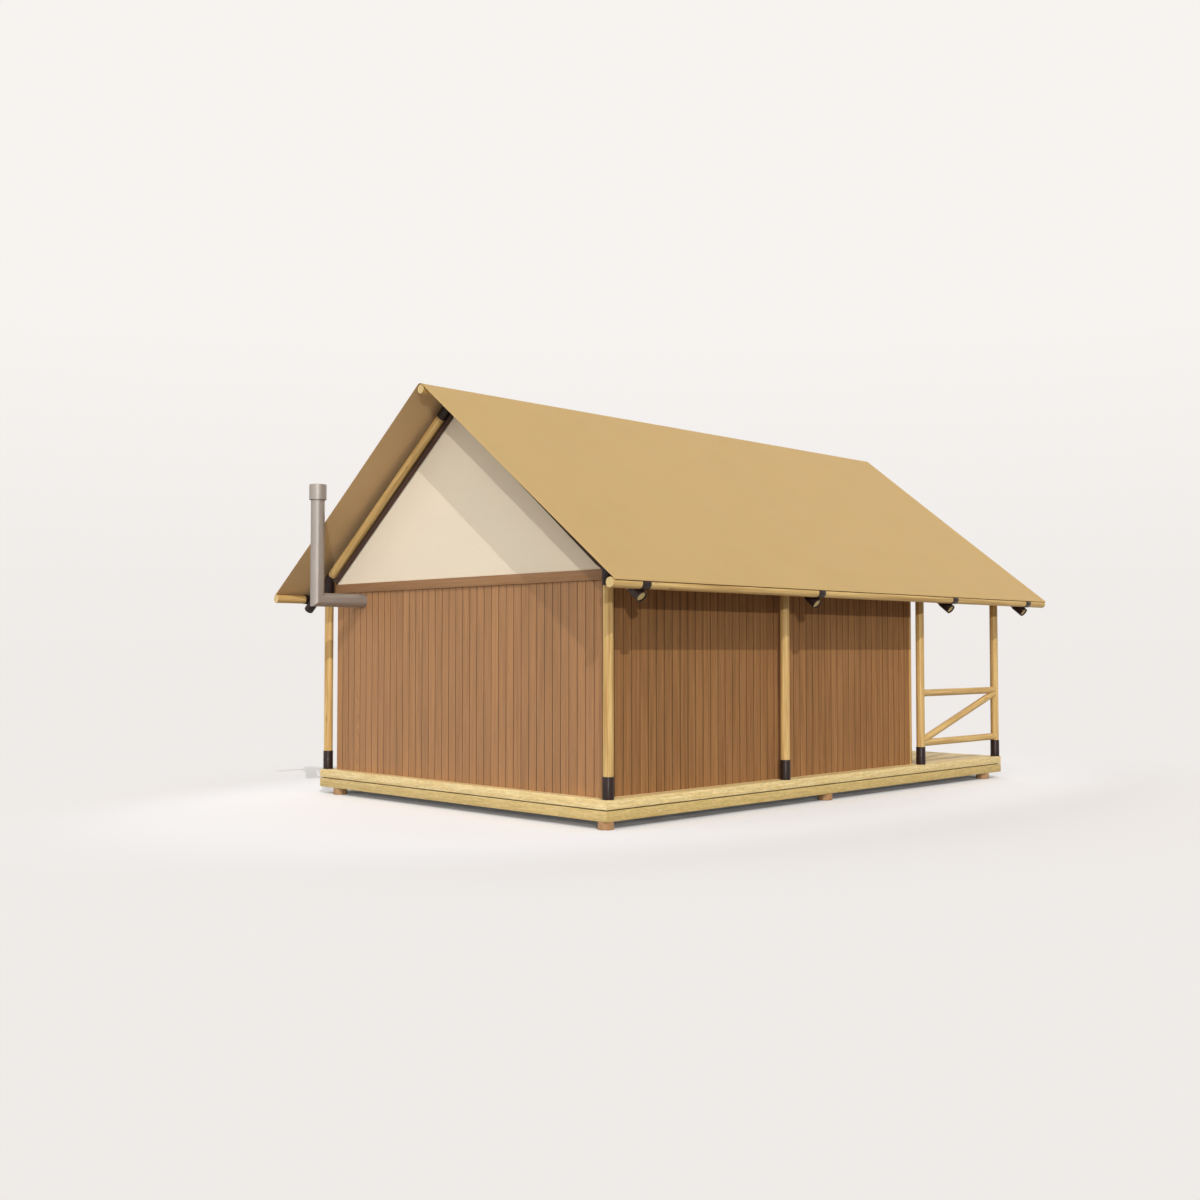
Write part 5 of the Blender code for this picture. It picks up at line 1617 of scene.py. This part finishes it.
class OBJECT_OT_tent_doors(bpy.types.Operator):
    """Glazed door leaves with boarded lower panels, beads, hinges, and the lever"""

    bl_idname = "object.tent_doors"
    bl_label = "Doors"

    def execute(self, context):
        screws = {"tent": [], "door_right": [], "door_left": []}
        jambs = []
        for side, sign in SIDES.items():
            body = f"door_{side}"
            self.leaf(side, sign, body)
            leaves = []
            for z in (LEAF_FOOT + HINGE_FROM_END, LEAF_TOP - HINGE_FROM_END):
                jambs += self.hinge_half(side, sign, z, -1, screws["tent"])
                leaves += self.hinge_half(side, sign, z, 1, screws[body])
            name = f"leaf_hinges_{side}"
            timber(name, leaves, "hinge", "steel", body=body)
            pane = frame["nodes"][f"door_pane_{side}"]
            pane.data.materials.clear()
            pane.data.materials.append(MATERIALS["glass"])
        timber("jamb_hinges", jambs, "hinge", "steel")
        for body, spots in screws.items():
            fasteners(f"hinge_screws_{body}", spots, SCREW_HEAD, HINGE_SCREW, "screw", body)
        self.lever()
        return {"FINISHED"}

    def leaf(self, side, sign, body):
        inner, outer = sorted((sign * DOOR_GAP / 2, sign * (DOORWAY_HALF_WIDTH - DOOR_GAP)))
        back = DOOR_FACE - DOOR_THICKNESS
        light_foot, light_head = DECK_HIGH.z + PANE_FOOT, LEAF_TOP - STILE_WIDTH
        near, far = inner + STILE_WIDTH, outer - STILE_WIDTH
        panel_foot, panel_head = LEAF_FOOT + FOOT_RAIL, light_foot - STILE_WIDTH
        stiles = [(inner, near, LEAF_FOOT, LEAF_TOP), (far, outer, LEAF_FOOT, LEAF_TOP)]
        heights = ((LEAF_FOOT, panel_foot), (panel_head, light_foot), (light_head, LEAF_TOP))
        rails = [(near + GAP, far - GAP, *ends) for ends in heights]
        nodes = [f"door_leaf_{side}"]
        for part, spans, finish in (("stiles", stiles, "door"), ("rails", rails, "door_y")):
            shapes = [
                box((back, left, foot), (DOOR_FACE, right, head))
                for left, right, foot, head in spans
            ]
            timber(f"door_{part}_{side}", shapes, "timber", finish, nodes, body)
        panel = boarded(
            f"door_panel_{side}", near + GAP, far - GAP, DOOR_FACE - PANEL_RECESS,
            back + PANEL_RECESS, True, panel_foot + GAP, panel_head - GAP, 20 + sign, "door",
        )
        settle(panel, "door", nodes, body, BOARD_SMOOTH)
        faces = ((DOOR_FACE - BEAD_RECESS, -BEAD_DEPTH), (back + BEAD_RECESS, BEAD_DEPTH))
        beads = [
            pushed([(x, y, z) for y, z in outline], (step, 0.0, 0.0))
            for pair in mitred(near, far, light_foot, light_head, BEAD)
            for outline in pair
            for x, step in faces
        ]
        timber(f"door_beads_{side}", beads, "bead", "door", nodes, body)

    def hinge_half(self, side, sign, middle_z, upper, spots):
        """The plate and knuckle of one half, and the places of its screws."""
        axis = JOINTS[f"door_{side}_hinge"]
        foot, head = sorted((middle_z + upper * GAP, middle_z + upper * HINGE_LENGTH))
        edges = sorted((axis.y, axis.y - upper * sign * HINGE_PLATE_WIDTH))
        plate = box((DOOR_FACE, edges[0], foot), (DOOR_FACE + HINGE_PLATE, edges[1], head))
        ends = ((axis.x, axis.y, z) for z in (foot, head))
        knuckle = bar(*ends, HINGE_RADIUS, HINGE_RIM, HINGE_SIDES)
        y = axis.y - upper * sign * HINGE_SCREW_ACROSS * HINGE_PLATE_WIDTH
        for share in HINGE_SCREWS:
            z = foot + share * (head - foot)
            spots.append((Vector((DOOR_FACE + HINGE_PLATE, y, z)), ALONG))
        return [plate, knuckle]

    def lever(self):
        """A lever on each face of the leaf: rose, neck and a rounded grip."""
        pieces = []
        for out in (-ALONG, ALONG):
            face = JOINTS["lever_turn"] + (DOOR_THICKNESS / 2 + GAP) * out
            tip = JOINTS["lever_turn"] + (DOOR_THICKNESS / 2 + LEVER_STAND_OFF) * out
            root = tip - LEVER_RADIUS * out
            parts = (
                (face, face + LEVER_ROSE * out, LEVER_ROSE_RADIUS),
                (face, tip, LEVER_SPINDLE),
                (root, root - LEVER_LENGTH * ACROSS, LEVER_RADIUS),
            )
            solids = [bar(*part, *rim) for part, rim in zip(parts, LEVER_RIMS)]
            pieces.append(fitted("lever_half", solids))
        settle(join("door_lever_set", pieces), "lever", ["door_lever"], "lever")


class OBJECT_OT_tent_stage(bpy.types.Operator):
    """Camera, pale floor, lamps and surroundings"""

    bl_idname = "object.tent_stage"
    bl_label = "Stage"

    def execute(self, context):
        scene = context.scene
        scene.view_settings.view_transform = "Standard"
        self.camera(scene)
        for name, (way, strength, softness) in LAMPS.items():
            lamp = bpy.data.lights.new(name, "SUN")
            lamp.energy, lamp.angle = strength, math.radians(softness)
            turn = Vector(way).to_track_quat("-Z", "Y").to_euler()
            self.place(scene, lamp, (0.0, 0.0, 0.0), turn)
        self.surroundings(scene)
        self.floor(scene)
        return {"FINISHED"}

    def place(self, scene, data, location, turn):
        """An object of this data in the scene."""
        obj = bpy.data.objects.new(data.name, data)
        obj.location, obj.rotation_euler = location, turn
        scene.collection.objects.link(obj)
        return obj

    def camera(self, scene):
        camera = bpy.data.cameras.new("photo_camera")
        camera.lens, camera.sensor_width, camera.clip_end = CAMERA_LENS, CAMERA_SENSOR, CAMERA_FAR
        scene.camera = self.place(scene, camera, CAMERA_PLACE, CAMERA_TURN)

    def surroundings(self, scene):
        """Soft light that grows towards the zenith; the camera sees the pale backdrop instead."""
        look = scene.tent_colours
        world = bpy.data.worlds.new("studio")
        world.use_nodes = True
        scene.world = world
        tree = world.node_tree
        tree.nodes.clear()
        height = add(tree, SEPARATE, (add(tree, COORDS),), "Z")
        strength = add(tree, RANGE, (height, 0.0, 1.0, SKY_LOW, SKY_HIGH))
        light = add(tree, BACKGROUND, {"Color": (1.0, 1.0, 1.0), "Strength": strength})
        up = add(tree, RANGE, (height, 0.0, SKY_BLEND))
        shade = add(tree, BLEND, {0: up, 6: look.stage, 7: look.sky}, **MIX)
        shown = add(tree, BACKGROUND, {"Color": shade, "Strength": 1.0})
        mixed = add(tree, "ShaderNodeMixShader", (background_rays(tree), light, shown))
        add(tree, "ShaderNodeOutputWorld", {"Surface": mixed})

    def floor(self, scene):
        """Pale matt floor that melts into the backdrop; it throws less light back than it shows,
        and glows with a painted pool of light round the deck.
        """
        shape = bmesh.new()
        radius = scene.tent_sizes.floor_radius
        bmesh.ops.create_circle(shape, cap_ends=True, segments=96, radius=radius)
        floor = shape_object("stage_floor", shape)
        tint = (*linear(FLOOR_GLOW_TINT), 1.0)
        inputs = {"Roughness": 0.9, "Specular IOR Level": 0.0, "Emission Color": tint}
        material, tree, shader = new_material("pale_floor", inputs)
        stage = scene.tent_colours.stage
        place = add(tree, COORDS, out="Object")
        seen = background_rays(tree)
        pale = add(tree, BLEND, {0: seen, 6: linear(FLOOR_BOUNCE), 7: stage}, **MIX)
        dress(tree, shader, pale, (grain(tree, place, (2.5, 2.5), 0.995, 1.0),))
        # The painted glow stops under the deck, where it would grey the shadow
        reach = {"Distance": FLOOR_SHADE_REACH}
        open_sky = add(tree, "ShaderNodeAmbientOcclusion", reach, "AO", samples=8)
        oval = add(tree, VECTOR, (place, POOL_SHAPE), operation="MULTIPLY")
        away = add(tree, VECTOR, (oval,), "Value", operation="LENGTH")
        ends = (away, POOL_EDGE, POOL_CORE, 0.0, FLOOR_GLOW)
        lift = add(tree, RANGE, ends, interpolation_type="SMOOTHSTEP")
        for part in (seen, open_sky):
            lift = add(tree, MATH, (lift, part), operation="MULTIPLY")
        tree.links.new(lift, shader.inputs["Emission Strength"])
        distance = add(tree, VECTOR, (place,), "Value", operation="LENGTH")
        ends = (distance, FLOOR_NEAR, FLOOR_FAR)
        far = add(tree, RANGE, ends, interpolation_type="SMOOTHSTEP")
        share = add(tree, MATH, (far, seen), operation="MULTIPLY")
        shown = add(tree, "ShaderNodeEmission", {"Color": stage, "Strength": 1.0})
        mixed = add(tree, "ShaderNodeMixShader", (share, shader.outputs[0], shown))
        tree.links.new(mixed, tree.nodes["Material Output"].inputs["Surface"])
        floor.data.materials.append(material)


OPERATORS = (
    OBJECT_OT_tent_stage,
    OBJECT_OT_tent_poles,
    OBJECT_OT_tent_railings,
    OBJECT_OT_tent_fittings,
    OBJECT_OT_tent_bolts,
    OBJECT_OT_tent_walls,
    OBJECT_OT_tent_deck,
    OBJECT_OT_tent_fly,
    OBJECT_OT_tent_inner_roof,
    OBJECT_OT_tent_flue,
    OBJECT_OT_tent_doors,
)


class VIEW3D_PT_tent(bpy.types.Panel):
    """Lists the tent's pieces"""

    bl_label = "Safari Tent"
    bl_idname = "VIEW3D_PT_tent"
    bl_space_type = "VIEW_3D"
    bl_region_type = "UI"
    bl_category = "Tent"

    def draw(self, context):
        layout = self.layout
        for operator in OPERATORS:
            layout.operator(operator.bl_idname)
        for group in (context.scene.tent_sizes, context.scene.tent_colours):
            box_layout = layout.box()
            for name in group.__annotations__:
                box_layout.prop(group, name)


CLASSES = (TentSizes, TentColours, *OPERATORS, VIEW3D_PT_tent)


def register():
    for cls in CLASSES:
        bpy.utils.register_class(cls)
    bpy.types.Scene.tent_sizes = PointerProperty(type=TentSizes)
    bpy.types.Scene.tent_colours = PointerProperty(type=TentColours)


def unregister():
    del bpy.types.Scene.tent_sizes
    del bpy.types.Scene.tent_colours
    for cls in reversed(CLASSES):
        bpy.utils.unregister_class(cls)


def main():
    register()
    make_materials()
    make_trees()
    for operator in OPERATORS:
        group, name = operator.bl_idname.split(".")
        getattr(getattr(bpy.ops, group), name)()


if __name__ == "__main__":
    main()
